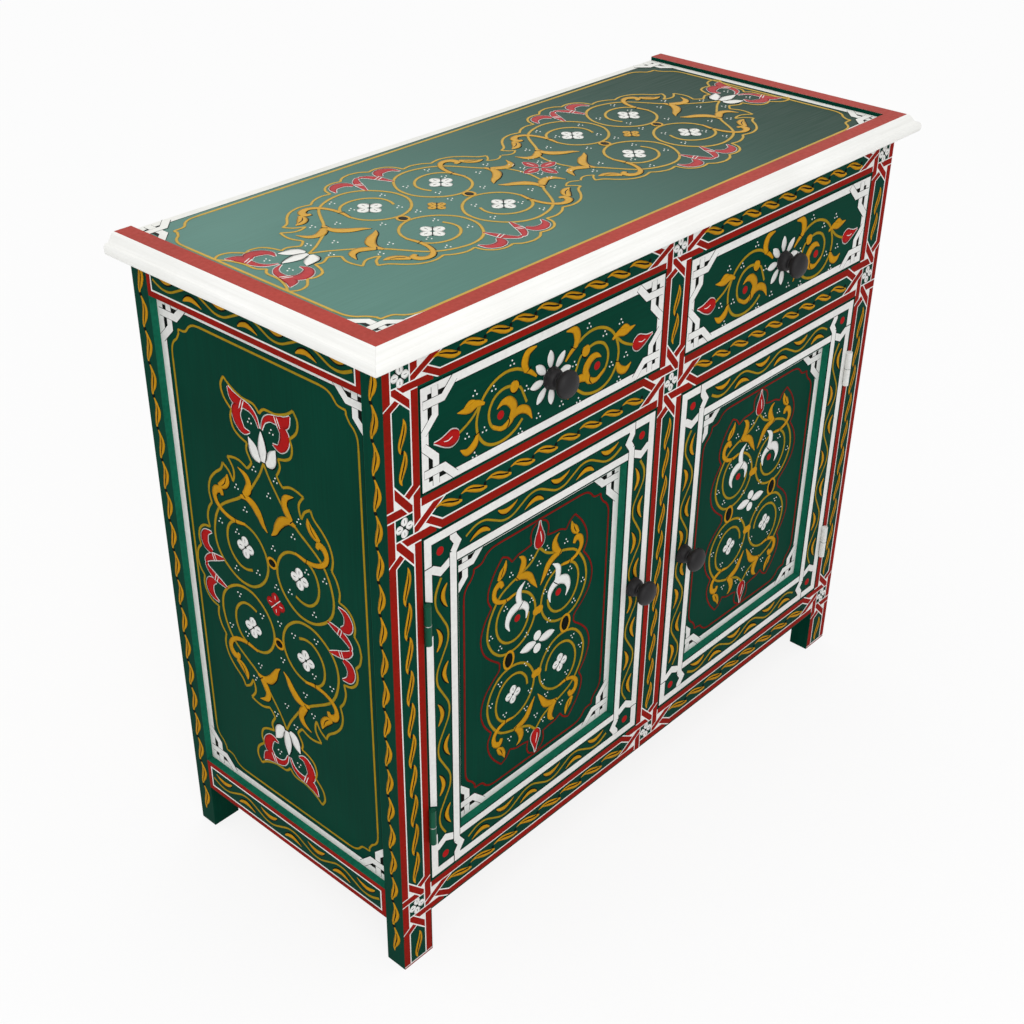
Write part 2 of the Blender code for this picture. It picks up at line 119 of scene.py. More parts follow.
def finish_board(name, material, ease=0.0008):
    """Give a board its finish and eased edges, without touching its mesh."""
    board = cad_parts[name]
    weld = board.modifiers.new("joined corners", "WELD")
    weld.merge_threshold = 0.00001
    whole = board.modifiers.new("whole faces", "DECIMATE")
    whole.decimate_type = "DISSOLVE"
    whole.angle_limit = math.radians(1.0)
    round_over = board.modifiers.new("eased edges", "BEVEL")
    round_over.width = ease
    round_over.segments = 2
    round_over.limit_method = "ANGLE"
    round_over.angle_limit = math.radians(40.0)
    board.data.materials.clear()
    board.data.materials.append(material)


# Dark bottle green, glossy, a little streaked where the brush left the coat thin
green_upright = oil_paint("green_gloss_oil_paint_upright", "#033629", "#053e2f", 0.42, along=2)
green_level = oil_paint("green_gloss_oil_paint_level", "#033629", "#053e2f", 0.42, along=0)
green_deep = oil_paint("green_gloss_oil_paint_front_to_back", "#033629", "#053e2f", 0.42, along=1)
sides = ("left", "right")
for side in sides:
    for part in ("front_post", "back_post", "side_panel"):
        finish_board(f"{side}_{part}", green_upright)
    for part in ("bottom_rail", "top_rail"):
        finish_board(f"{side}_{part}", green_deep)
for part in ("front_bottom_rail", "front_mid_rail", "front_top_rail"):
    finish_board(part, green_level)
for part in ("door_mullion", "drawer_divider"):
    finish_board(part, green_upright)


# Boards that stay bare: the back, the floor, the runners, the door stop and the drawer boxes.
# Planed pine, sawn along the grain, glued and grooved together and never painted.
def pine(name, along):
    """Planed pine: straight yellow-brown grain lines about 4 mm apart, with a fine fibre between them."""
    material, tree, shader, place = new_material(name)
    ring_length, ring_width = 420.0, 9.0
    fibre_length, fibre_width = 60.0, 1.2
    ring = [1000.0 / (ring_length if axis == along else ring_width) for axis in range(3)]
    fibre = [1000.0 / (fibre_length if axis == along else fibre_width) for axis in range(3)]
    grain = add_node(tree, "ShaderNodeMapping", {"Vector": place, "Scale": ring}).outputs[0]
    threads = add_node(tree, "ShaderNodeMapping", {"Vector": place, "Scale": fibre}).outputs[0]
    grain = add_node(
        tree, "ShaderNodeTexNoise", {"Vector": grain, "Scale": 1.0, "Detail": 4.0, "Distortion": 0.6}
    )
    threads = add_node(tree, "ShaderNodeTexNoise", {"Vector": threads, "Scale": 1.0, "Detail": 2.0})
    both = add_node(
        tree, "ShaderNodeMath", {0: threads.outputs[0], 1: 0.3, 2: grain.outputs[0]},
        operation="MULTIPLY_ADD"
    )
    share = add_node(
        tree, "ShaderNodeMapRange", {"Value": both.outputs[0], "From Min": 0.45, "From Max": 0.85}
    )
    pale_to_dark = {0: share.outputs[0], 6: linear("#cfae7e"), 7: linear("#a67c4c")}
    colour = add_node(tree, "ShaderNodeMix", pale_to_dark, data_type="RGBA")
    relief = add_node(
        tree, "ShaderNodeBump", {"Height": both.outputs[0], "Strength": 0.4, "Distance": 0.0002}
    )
    tree.links.new(colour.outputs[2], shader.inputs["Base Color"])
    tree.links.new(relief.outputs[0], shader.inputs["Normal"])
    shader.inputs["Roughness"].default_value = 0.62
    return material


# Dry straw-coloured wood, matt, with darker lines along the board
pine_level = pine("planed_pine_level", 0)
pine_deep = pine("planed_pine_front_to_back", 1)
for part in (
    "back_bottom_rail", "back_mid_rail", "back_top_rail", "back_panel", "floor_board", "door_stop"
):
    finish_board(part, pine_level)
for part in ("left_runner", "right_runner", "centre_runner"):
    finish_board(part, pine_deep)
for side in sides:
    for part in ("left_side", "right_side"):
        finish_board(f"{side}_drawer_{part}", pine_deep)
    for part in ("back", "bottom"):
        finish_board(f"{side}_drawer_{part}", pine_level)


# Strapwork of the front frame: red bands edged in white along every post and rail, tied into star
# knots where they meet, with a chain of gilt leaves between. All of it is laid on by brush, freehand
# over ruled lines, one colour over another in thin films.
def paint_for_ornament(name, full, thin, roughness, shine=0.012):
    """The same oil paint in a small brush: short dabs, so the marks have no one direction."""
    return oil_paint(name, full, thin, roughness, None, 5.0, 20.0, 60.0, 0.05, shine)


# Each paint with the material slot that it belongs to
paints = {
    # Brick red of the bands, slightly brown where it is thin
    "red": (paint_for_ornament("brick_red_oil_paint", "#931810", "#80190f", 0.42), "green_paint"),
    # Clear cinnabar red of leaves, buds and berries
    "bright red": (
        paint_for_ornament("cinnabar_red_oil_paint", "#b01a19", "#9e1919", 0.42), "green_paint"
    ),
    # Cool white, laid on thick, with a trace of the green below
    "white": (paint_for_ornament("white_oil_paint", "#eaeae7", "#dcdcd9", 0.42), "white_paint"),
    # Yellow ochre of the leaves, thick and warm
    "gold": (paint_for_ornament("ochre_oil_paint", "#c68e17", "#b48218", 0.42), "green_paint"),
    # The same ochre drawn out thin in lines, so it takes a green cast
    "line": (paint_for_ornament("thin_ochre_oil_paint", "#aa8519", "#927d1e", 0.42), "green_paint"),
    # Lamp black of the shade strokes, nearly matt
    "black": (paint_for_ornament("lamp_black_oil_paint", "#0d100e", "#131714", 0.5), "green_paint"),
    # Lighter sea green of the faces that step in to a panel
    "teal": (paint_for_ornament("sea_green_oil_paint", "#145c47", "#1a6e55", 0.4), "green_paint"),
    # A darker, thinner red, drawn in fine lines on the door panels
    "thin red": (paint_for_ornament("thin_red_oil_paint", "#86170f", "#6e1711", 0.42), "green_paint"),
    # The ground colour, to close a border where a hinge sits
    "green": (paint_for_ornament("green_oil_paint", "#033629", "#053e2f", 0.42), "green_paint"),
}

# Height from one layer to the next, height of a film and how far it keys into the wood, in metres
film_step = 0.00009
film_thickness = 0.00004
film_key = 0.0001
# Strokes of one layer lie a hair above each other, so that no two films share a surface
film_stagger = 0.035
stagger_count = 12
scene = bpy.context.scene


def geometry_tree(name, drawn, wanted, made):
    """An empty tree of geometry nodes with its named inputs and its output."""
    tree = bpy.data.node_groups.new(name, "GeometryNodeTree")
    for label, kind in ((drawn, "Geometry"), *wanted):
        tree.interface.new_socket(label, in_out="INPUT", socket_type=f"NodeSocket{kind}")
    tree.interface.new_socket(made, in_out="OUTPUT", socket_type="NodeSocketGeometry")
    return tree


brush_inputs = (
    ("Paint", "Material"), ("Step", "Float"), ("Film", "Float"), ("Key", "Float"), ("Smoothness", "Int")
)


def stroke_tree():
    """Geometry nodes that turn drawn lines into brush strokes of varying width in a thin film."""
    tree = geometry_tree("brush_strokes", "Lines", brush_inputs, "Strokes")
    given = add_node(tree, "NodeGroupInput").outputs
    curve = add_node(tree, "GeometryNodeMeshToCurve", {"Mesh": given["Lines"]}).outputs[0]
    curve = add_node(
        tree, "GeometryNodeCurveSplineType", {"Curve": curve}, spline_type="CATMULL_ROM"
    ).outputs[0]
    steps = {"Geometry": curve, "Resolution": given["Smoothness"]}
    curve = add_node(tree, "GeometryNodeSetSplineResolution", steps).outputs[0]
    curve = add_node(tree, "GeometryNodeResampleCurve", {"Curve": curve}, mode="EVALUATED").outputs[0]
    curve = add_node(tree, "GeometryNodeSetCurveNormal", {"Curve": curve}, mode="Z_UP").outputs[0]
    width = add_node(
        tree, "GeometryNodeInputNamedAttribute", {"Name": "half_width"}, data_type="FLOAT"
    ).outputs[0]
    trembles_per_metre = 70.0
    thinnest_half = 0.00012
    tremble = {"Scale": trembles_per_metre, "Detail": 1.0}
    tremble = add_node(tree, "ShaderNodeTexNoise", tremble).outputs["Fac"]
    tremble = add_node(
        tree, "ShaderNodeMapRange", {"Value": tremble, "To Min": 0.88, "To Max": 1.12}
    ).outputs[0]
    width = add_node(tree, "ShaderNodeMath", {0: width, 1: tremble}, operation="MULTIPLY").outputs[0]
    width = add_node(tree, "ShaderNodeMath", {0: width, 1: thinnest_half}, operation="MAXIMUM").outputs[0]
    ring = add_node(tree, "GeometryNodeCurvePrimitiveCircle", {"Resolution": 6, "Radius": 1.0}).outputs[0]
    sweep = {"Curve": curve, "Profile Curve": ring, "Scale": width, "Fill Caps": True}
    mesh = add_node(tree, "GeometryNodeCurveToMesh", sweep).outputs[0]
    layer = add_node(
        tree, "GeometryNodeInputNamedAttribute", {"Name": "layer"}, data_type="FLOAT"
    ).outputs[0]
    level = add_node(
        tree, "ShaderNodeMath", {0: layer, 1: given["Step"]}, operation="MULTIPLY"
    ).outputs[0]
    swept = add_node(tree, "GeometryNodeInputPosition").outputs[0]
    where = add_node(tree, "ShaderNodeSeparateXYZ", {0: swept}).outputs
    # 1 on the upper side of the swept ring and -1 on the lower, however thin the stroke is
    side = add_node(tree, "ShaderNodeMath", {0: where["Z"], 1: 100000.0}, operation="MULTIPLY").outputs[0]
    above = add_node(tree, "ShaderNodeClamp", {0: side, 1: 0.0, 2: 1.0}).outputs[0]
    below = add_node(tree, "ShaderNodeClamp", {0: side, 1: -1.0, 2: 0.0}).outputs[0]
    depth = add_node(tree, "ShaderNodeMath", {0: level, 1: given["Key"]}, operation="ADD").outputs[0]
    crown = add_node(
        tree, "ShaderNodeMath", {0: above, 1: given["Film"], 2: level}, operation="MULTIPLY_ADD"
    ).outputs[0]
    height = add_node(
        tree, "ShaderNodeMath", {0: below, 1: depth, 2: crown}, operation="MULTIPLY_ADD"
    ).outputs[0]
    point = add_node(
        tree, "ShaderNodeCombineXYZ", {"X": where["X"], "Y": where["Y"], "Z": height}
    ).outputs[0]
    mesh = add_node(tree, "GeometryNodeSetPosition", {"Geometry": mesh, "Position": point}).outputs[0]
    mesh = add_node(tree, "GeometryNodeRealizeInstances", {"Geometry": mesh}).outputs[0]
    mesh = add_node(
        tree, "GeometryNodeSetMaterial", {"Geometry": mesh, "Material": given["Paint"]}
    ).outputs[0]
    add_node(tree, "NodeGroupOutput", {"Strokes": mesh})
    return tree


def dot_tree():
    """Geometry nodes that set a small round dab of paint on each point."""
    tree = geometry_tree("paint_dots", "Points", brush_inputs, "Dots")
    given = add_node(tree, "NodeGroupInput").outputs
    width = add_node(
        tree, "GeometryNodeInputNamedAttribute", {"Name": "half_width"}, data_type="FLOAT"
    ).outputs[0]
    layer = add_node(
        tree, "GeometryNodeInputNamedAttribute", {"Name": "layer"}, data_type="FLOAT"
    ).outputs[0]
    top = add_node(
        tree, "ShaderNodeMath", {0: layer, 1: given["Step"], 2: given["Film"]}, operation="MULTIPLY_ADD"
    )
    depth = add_node(
        tree, "ShaderNodeMath", {0: top.outputs[0], 1: given["Key"]}, operation="ADD"
    ).outputs[0]
    dab = {"Vertices": given["Smoothness"], "Radius Top": 0.86, "Radius Bottom": 1.0, "Depth": 1.0}
    dab = add_node(tree, "GeometryNodeMeshCone", dab).outputs["Mesh"]
    size = add_node(tree, "ShaderNodeCombineXYZ", {"X": width, "Y": width, "Z": depth}).outputs[0]
    sunk = add_node(tree, "ShaderNodeMath", {0: given["Key"], 1: -1.0}, operation="MULTIPLY").outputs[0]
    drop = add_node(tree, "ShaderNodeCombineXYZ", {"Z": sunk}).outputs[0]
    points = add_node(
        tree, "GeometryNodeSetPosition", {"Geometry": given["Points"], "Offset": drop}
    ).outputs[0]
    dots = {"Points": points, "Instance": dab, "Scale": size}
    dots = add_node(tree, "GeometryNodeInstanceOnPoints", dots).outputs[0]
    dots = add_node(tree, "GeometryNodeRealizeInstances", {"Geometry": dots}).outputs[0]
    dots = add_node(
        tree, "GeometryNodeSetMaterial", {"Geometry": dots, "Material": given["Paint"]}
    ).outputs[0]
    add_node(tree, "NodeGroupOutput", {"Dots": dots})
    return tree


strokes_by_brush = stroke_tree()
dots_by_brush = dot_tree()
stroke_smoothness = 5
dot_corners = 12


def made_plain(host, tree, sizes):
    """The plain mesh that a tree makes of an object, with its named inputs set."""
    modifier = host.modifiers.new(tree.name, "NODES")
    modifier.node_group = tree
    for label, value in sizes.items():
        modifier[tree.interface.items_tree[label].identifier] = value
    graph = bpy.context.evaluated_depsgraph_get()
    mesh = bpy.data.meshes.new_from_object(host.evaluated_get(graph))
    host.modifiers.clear()
    return mesh


def grow(made, tree, name, points, edges, widths, layers, paint, smoothness):
    """Run one of the trees on drawn points and lines, and add the paint that it makes to a mesh."""
    if not points:
        return
    drawn = bpy.data.meshes.new(name)
    drawn.from_pydata([(u / 1000, v / 1000, 0.0) for u, v in points], edges, [])
    halves = [half / 1000 for half in widths]
    levels = [layer + film_stagger * (number % stagger_count) for number, layer in layers]
    for label, values in (("half_width", halves), ("layer", levels)):
        drawn.attributes.new(label, "FLOAT", "POINT").data.foreach_set("value", values)
    host = bpy.data.objects.new(name, drawn)
    scene.collection.objects.link(host)
    sizes = {"Paint": paint, "Step": film_step, "Film": film_thickness, "Key": film_key}
    mesh = made_plain(host, tree, sizes | {"Smoothness": smoothness})
    bpy.data.objects.remove(host)
    made.from_mesh(mesh)
    bpy.data.meshes.remove(mesh)


def set_piece(name, mesh, body, slot):
    """Put a finished mesh in the scene as a piece that rides a body."""
    piece = bpy.data.objects.new(name, mesh)
    scene.collection.objects.link(piece)
    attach(piece, body)
    return piece


class PaintedFace:
    """A flat face that is painted by hand. Strokes are drawn on it in millimetres, from its own middle.

    Every stroke is repeated by each of the face's copies, which mirror, turn and shift a motif.
    """

    def __init__(self, name, body, middle, across, up, palette=None):
        across = Vector(across)
        up = Vector(up)
        self.name = name
        self.body = body
        self.palette = palette or paints
        self.place = Matrix((across, up, across.cross(up))).transposed().to_4x4()
        self.place.translation = Vector(middle)
        self.copies = [motif_place()]
        self.strokes = {}
        self.dabs = {}
        self.fills = {}

    def brush(self, paint, points, layer=3, closed=False, shift=(0.0, 0.0)):
        """A stroke through points (u, v, half width)."""
        for place in self.copies:
            placed = []
            for u, v, half in points:
                at_u, at_v = place(u, v)
                placed.append((at_u + shift[0], at_v + shift[1], half))
            self.strokes.setdefault(paint, []).append((placed, layer, closed))

    def line(self, paint, points, half, layer=3):
        """A ruled band of one width through points, mitred where it turns."""
        spots = [Vector(point) for point in points]
        runs = [(after - before).normalized() for before, after in zip(spots, spots[1:])]
        edges = []
        for index, spot in enumerate(spots):
            into = runs[max(index - 1, 0)]
            away = runs[min(index, len(runs) - 1)]
            across = Vector((-into.y - away.y, into.x + away.x)).normalized()
            reach = half / across.dot(Vector((-into.y, into.x)))
            edges.append((spot + across * reach, spot - across * reach))
        for (left, right), (next_left, next_right) in zip(edges, edges[1:]):
            self.fill(paint, [left, right, next_right, next_left], layer)

    def stem(self, points, half=1.7, paint="line"):
        """A thin line of one width through points."""
        self.brush(paint, [(u, v, half) for u, v in points], 3)

    def dots(self, paint, middles, radius, layer=4):
        """Round dabs."""
        for place in self.copies:
            for u, v in middles:
                self.dabs.setdefault(paint, []).append((place(u, v), radius, layer))

    def fill(self, paint, corners, layer=2):
        """A straight-edged patch."""
        for place in self.copies:
            self.fills.setdefault(paint, []).append(([place(u, v) for u, v in corners], layer))

    def frame_fill(self, paint, half_u, half_v, width, layer=2, left=None):
        """A border of four strips mitred into each other. left is the left strip's width."""
        inner_v = half_v - width
        inner_left = (left or width) - half_u
        inner_right = half_u - width
        for flip in (1, -1):
            top = [(-half_u, flip * half_v), (half_u, flip * half_v)]
            self.fill(paint, top + [(inner_right, flip * inner_v), (inner_left, flip * inner_v)], layer)
        for outer, inner in ((-half_u, inner_left), (half_u, inner_right)):
            self.fill(
                paint, [(outer, -half_v), (outer, half_v), (inner, inner_v), (inner, -inner_v)], layer
            )

    def leaf(self, points, layer=4):
        """An ochre leaf with a black shade stroke along its lower right edge."""
        self.brush("black", points, layer - 2, shift=(0.9, -0.9))
        self.brush("gold", points, layer)

    def edged(self, paint, points, layer=4, edge="white", rim=1.3):
        """A stroke with an outline of another paint."""
        self.brush(edge, [(u, v, half + rim) for u, v, half in points], layer - 1)
        self.brush(paint, points, layer)

    def dry(self):
        """Make one piece of each paint on this face and hand it to the body that carries it."""
        for paint in sorted(set(self.strokes) | set(self.dabs) | set(self.fills)):
            material, slot = self.palette[paint]
            name = f"{self.name}_{paint}".replace(" ", "_")
            made = bmesh.new()
            points, edges, widths, layers = [], [], [], []
            for number, (placed, layer, closed) in enumerate(self.strokes.get(paint, [])):
                first = len(points)
                points += [(u, v) for u, v, half in placed]
                edges += [(index, index + 1) for index in range(first, len(points) - 1)]
                if closed:
                    edges.append((len(points) - 1, first))
                widths += [half for u, v, half in placed]
                layers += [(number, layer)] * len(placed)
            grow(made, strokes_by_brush, name, points, edges, widths, layers, material, stroke_smoothness)
            dabs = self.dabs.get(paint, [])
            points = [middle for middle, radius, layer in dabs]
            widths = [radius for middle, radius, layer in dabs]
            layers = [(number, layer) for number, (middle, radius, layer) in enumerate(dabs)]
            grow(made, dots_by_brush, name, points, [], widths, layers, material, dot_corners)
            for number, (corners, layer) in enumerate(self.fills.get(paint, [])):
                top = (layer + film_stagger * (number % stagger_count)) * film_step + film_thickness
                ring = [made.verts.new((u / 1000, v / 1000, top)) for u, v in corners]
                face = made.faces.new(ring)
                face.normal_update()
                if face.normal.z < 0:
                    face.normal_flip()
                sunk = bmesh.ops.extrude_face_region(made, geom=[face])
                low = [item for item in sunk["geom"] if isinstance(item, bmesh.types.BMVert)]
                for vert in ring:
                    vert.co.z = top
                for vert in low:
                    vert.co.z = -film_key
            bmesh.ops.recalc_face_normals(made, faces=made.faces[:])
            made.transform(self.place)
            mesh = bpy.data.meshes.new(name)
            made.to_mesh(mesh)
            made.free()
            mesh.materials.clear()
            mesh.materials.append(material)
            set_piece(name, mesh, self.body, slot)


def motif_place(centre=(0.0, 0.0), flip=(1, 1), scale=1.0, turned=False):
    """Where a motif's own point falls on a face: turned changes its two axes over."""
    def place(u, v):
        if turned:
            u, v = v, u
        return centre[0] + flip[0] * scale * u, centre[1] + flip[1] * scale * v
    return place


def quarter_turn(turns, centre, squeeze=1.0):
    """Where a point falls when a motif is turned clockwise by quarter turns, and lowered."""
    def place(u, v):
        for turn in range(turns):
            u, v = v, -u
        return centre[0] + u, centre[1] + squeeze * v
    return place


def lens(start, end, half):
    """A petal or slim leaf, drawn in one stroke that is pressed and lifted."""
    shares = ((0.0, 0.15), (0.2, 0.75), (0.5, 1.0), (0.8, 0.65), (1.0, 0.08))
    return [
        (start[0] + (end[0] - start[0]) * share, start[1] + (end[1] - start[1]) * share, half * press)
        for share, press in shares
    ]


def in_mm(node):
    """Lowest and highest corner of a CAD node in millimetres."""
    low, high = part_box(node)
    return low * 1000, high * 1000


post_low, post_high = in_mm("left_front_post")
front = post_low.y
outer_edge = -post_low.x
opening_edge = -post_high.x
front_frame = PaintedFace("front_frame", "carcass", (0, front / 1000, 0), (1, 0, 0), (0, 0, 1))
band_offset = 18.5
band_half = 4.7
band_rim = 1.7
band_outside = band_offset + band_half
band_inside = band_offset - band_half
line_inside = band_inside - band_rim
strap_half = 4.1
strap_edge = strap_half + band_rim
post_column = outer_edge - band_outside - 0.1
columns = (-post_column, 0.0, post_column)
rows = []
for rail in ("front_bottom_rail", "front_mid_rail", "front_top_rail"):
    low, high = in_mm(rail)
    rows.append(((low.z + high.z) / 2, (high.z - low.z) / 2))
leg_end = 0.0
# Ends of an arm's slanting strap, across and along it, then of the bend of the band beside it
upright_straps = ((-line_inside, 42.0), (line_inside, 14.2), (band_offset, 40.5), (3.9, 31.0))
level_straps = ((-line_inside, 49.4), (line_inside, 11.8), (band_offset, 54.0), (3.3, 31.5))


def clipped(corners, cuts):
    """The part of a patch on the near side of straight cuts. A cut is a point and the way to keep."""
    for spot, keep in cuts:
        kept = []
        for here, ahead in zip(corners, corners[1:] + corners[:1]):
            near = Vector(keep).dot(Vector(here) - Vector(spot))
            far = Vector(keep).dot(Vector(ahead) - Vector(spot))
            if near >= 0:
                kept.append(here)
            if near * far < 0:
                kept.append(Vector(here).lerp(Vector(ahead), near / (near - far)))
        corners = kept
    return corners


def left_of(start, end):
    """The way to the left of a strip that runs from one point to another."""
    ahead = (Vector(end) - Vector(start)).normalized()
    return Vector((-ahead.y, ahead.x))


def strip(face, paint, start, end, half, cuts, layer):
    """A straight strip through two points, run on past them and then cut."""
    run_past = 40
    side = left_of(start, end)
    ahead = Vector((side.y, -side.x))
    low = Vector(start) - ahead * run_past
    high = Vector(end) + ahead * run_past
    patch = [low + side * half, high + side * half, high - side * half, low - side * half]
    face.fill(paint, clipped(patch, cuts), layer)


def upright_box(low_u, high_u, low_v, high_v):
    """The corners of a patch with level and upright edges."""
    return [(low_u, low_v), (high_u, low_v), (high_u, high_v), (low_u, high_v)]


def leaf_chain(face, start, end, fixed, upright, pitch):
    """Gilt leaves in a row, each with a black slit and a black dab where the next one springs."""
    drawn_pitch = 38.4
    count = max(1, round((end - start) / pitch))
    pitch = (end - start) / count
    if upright:
        leaf = (
            (2.8, 0.6, 0.5), (4.0, -5.0, 2.3), (3.4, -13.0, 4.0), (0.8, -21.5, 4.3), (-2.0, -29.0, 3.4),
            (-2.9, -35.0, 2.0), (-1.3, -40.0, 0.5)
        )
        slit = (
            (3.8, -5.5, 0.3), (3.2, -13.0, 0.9), (0.8, -21.5, 1.0), (-1.6, -29.0, 0.8), (-2.4, -33.0, 0.3)
        )
        dab = (0.0, -0.4)
    else:
        leaf = (
            (-1.0, 3.6, 0.4), (6.0, 5.2, 2.0), (14.0, 3.4, 4.0), (23.0, -0.4, 4.6), (31.0, -3.4, 3.5),
            (38.5, -4.6, 1.2)
        )
        slit = ((8.0, 5.0, 0.4), (17.0, 2.8, 1.0), (26.0, -0.6, 1.1), (34.0, -2.4, 1.0))
        dab = (35.6, 0.6)
    for index in range(count):
        if upright:
            spot = (fixed, start + (index + 1) * pitch)
            stretch = (1.0, pitch / drawn_pitch)
        else:
            spot = (start + index * pitch, fixed)
            stretch = (pitch / drawn_pitch, 1.0)
        for paint, shape, layer in (("gold", leaf, 3), ("black", slit, 4)):
            laid = [(spot[0] + u * stretch[0], spot[1] + v * stretch[1], half) for u, v, half in shape]
            face.brush(paint, laid, layer)
        if not upright or index < count - 1:
            face.dots("black", [(spot[0] + dab[0] * stretch[0], spot[1] + dab[1] * stretch[1])], 2.2, 5)


def star_knot(face, column, row, squeeze, reaches):
    """Straps that cross over and under each other round a white flower, with the bands from them.

    reaches gives, for the arm up, right, down and left, how far its bands run. An arm of less than
    edge_reach has no bands: only the strap of the next arm runs on to the edge of the wood there.
    """
    edge_reach = 30.0
    strap_foot = -30.0
    strap_head = 45.0
    for turns, reach in enumerate(reaches):
        face.copies = [quarter_turn(turns, (column, row), squeeze)]
        level = turns % 2 == 1
        reach = reach if level else reach / squeeze
        crossing_start, crossing_end, bend, bend_end = level_straps if level else upright_straps
        aside = left_of(crossing_start, crossing_end)
        away = left_of(bend, bend_end)
        over_crossing = (Vector(crossing_start) + aside * strap_edge, aside)
        under_crossing = (Vector(crossing_start) - aside * strap_edge, -aside)
        under_bend = (Vector(bend) + away * strap_edge, away)
        on_bend = (Vector(bend) + away * strap_half, -away)
        # The strap that runs on beside the flower, under the next arm's slanting strap
        next_start, next_end = (upright_straps if level else level_straps)[:2]
        turned_start = Vector((next_start[1], -next_start[0]))
        turned_end = Vector((next_end[1], -next_end[0]))
        next_aside = left_of(turned_start, turned_end)
        cuts = [(turned_start - next_aside * strap_edge, -next_aside)]
        if reaches[(turns + 1) % 4] < edge_reach:
            cuts = [((0.0, -line_inside), (0.0, 1.0))]
        if reach >= edge_reach:
            cuts.append(under_bend)
        head = min(reach, strap_head)
        face.fill("white", clipped(upright_box(line_inside, band_inside, strap_foot, head), cuts), 1)
        face.fill("red", clipped(upright_box(band_inside, band_outside, strap_foot, head), cuts), 2)
        if reach < edge_reach:
            continue
        # The slanting strap, from one band to the strap on the other side
        ends = [((-line_inside, 0.0), (1.0, 0.0)), ((line_inside, 0.0), (-1.0, 0.0))]
        for paint, half, foot, layer in (
            ("white", strap_edge, line_inside, 1), ("red", strap_half, band_inside, 2)
        ):
            strip(
                face, paint, crossing_start, crossing_end, half, ends + [((0.0, foot), (0.0, 1.0))], layer
            )
        # The band that bends in under the slanting strap
        ends = [((band_outside, 0.0), (-1.0, 0.0)), over_crossing]
        strip(face, "white", bend, bend_end, strap_edge, ends, 1)
        strip(face, "red", bend, bend_end, strap_half, ends, 2)
        face.fill("white", clipped(upright_box(line_inside, band_inside, 20.0, reach), [on_bend]), 1)
        face.fill("red", clipped(upright_box(band_inside, band_outside, 20.0, reach), [on_bend]), 2)
        # The band that runs square up to the knot
        face.fill("white", upright_box(-band_inside, -line_inside, band_outside, reach), 1)
        face.fill(
            "white", upright_box(-band_outside, -band_inside, band_outside, band_outside + band_rim), 1
        )
        face.fill("red", upright_box(-band_outside, -band_inside, band_outside + band_rim, reach), 2)
        # White in the small gaps between the straps
        face.fill(
            "white", clipped(upright_box(-line_inside, 5.0, band_outside, 50.0), [under_crossing]), 1
        )
        face.fill(
            "white", clipped(upright_box(0.0, band_inside, 12.0, 45.0), [over_crossing, under_bend]), 1
        )
    face.copies = [motif_place((column, row))]
    flower(face, "white", 7.0, 5.1, 3)
    face.copies = [motif_place()]


def flower(face, paint, offset, radius, layer, vein="black", slope=-1):
    """Four round petals with a dark mark in each, and a thin line slanting across the flower."""
    shares = ((-0.95, 0.3), (-0.6, 0.8), (0.0, 1.0), (0.6, 0.8), (0.95, 0.3))
    for u, v in ((1, 0), (-1, 0), (0, 1), (0, -1)):
        petal = []
        for share, press in shares:
            out = offset + radius * share
            petal.append((u * out, v * out, radius * press))
        face.brush(paint, petal, layer)
        mark = [(offset - 0.3 * radius, 0.28), (offset + 0.4 * radius, 0.4)]
        face.brush(vein, [(u * out, v * out, half) for out, half in mark], layer + 2)
    tip = 0.95 * offset
    face.brush(vein, [(-tip, -slope * tip, 0.5), (tip, slope * tip, 0.6)], layer + 2)


# Space before and after a chain of leaves and the length of a leaf, on the bottom, middle and top rail
rail_chains = ((52.0, 53.0, 43.5), (45.5, 53.0, 38.6), (45.5, 53.0, 38.6))
foot_band = 4.0
edge_gap = 0.4
for place, column in enumerate(columns):
    for level, (row, rail_half) in enumerate(rows):
        right_reach = post_column / 2 if place < 2 else band_outside
        left_reach = post_column / 2 if place > 0 else band_outside
        up_reach = (rows[level + 1][0] - row) / 2 if level < 2 else rail_half - edge_gap
        down_reach = (row - rows[level - 1][0]) / 2
        if level == 0:
            down_reach = rail_half - edge_gap if place == 1 else row - leg_end - foot_band
        squeeze = (rail_half - 7.0) / band_offset
        star_knot(front_frame, column, row, squeeze, (up_reach, right_reach, down_reach, left_reach))
        if place < 2:
            before, behind, pitch = rail_chains[level]
            leaf_chain(front_frame, column + before, columns[place + 1] - behind, row, False, pitch)
        if level == 2:
            leaf_chain(front_frame, rows[1][0] + 52.0, row - 48.0, column, True, 36.0)
        elif level == 1:
            leaf_chain(
                front_frame, rows[0][0] + 41.0, row - 51.0, column, True, 39.5 if place == 1 else 42.9
            )
        elif place != 1:
            leaf_chain(front_frame, leg_end + 8.0, row - 45.0, column, True, 38.4)
# A narrow red band and a white line across each foot
for hand in (-1, 1):
    across = sorted((hand * (opening_edge + 1.0), hand * (outer_edge - 0.2)))
    front_frame.fill("red", upright_box(*across, leg_end + 0.5, leg_end + 2.5), 2)
    front_frame.fill("white", upright_box(*across, leg_end + 2.5, leg_end + 4.2), 1)
front_frame.dry()


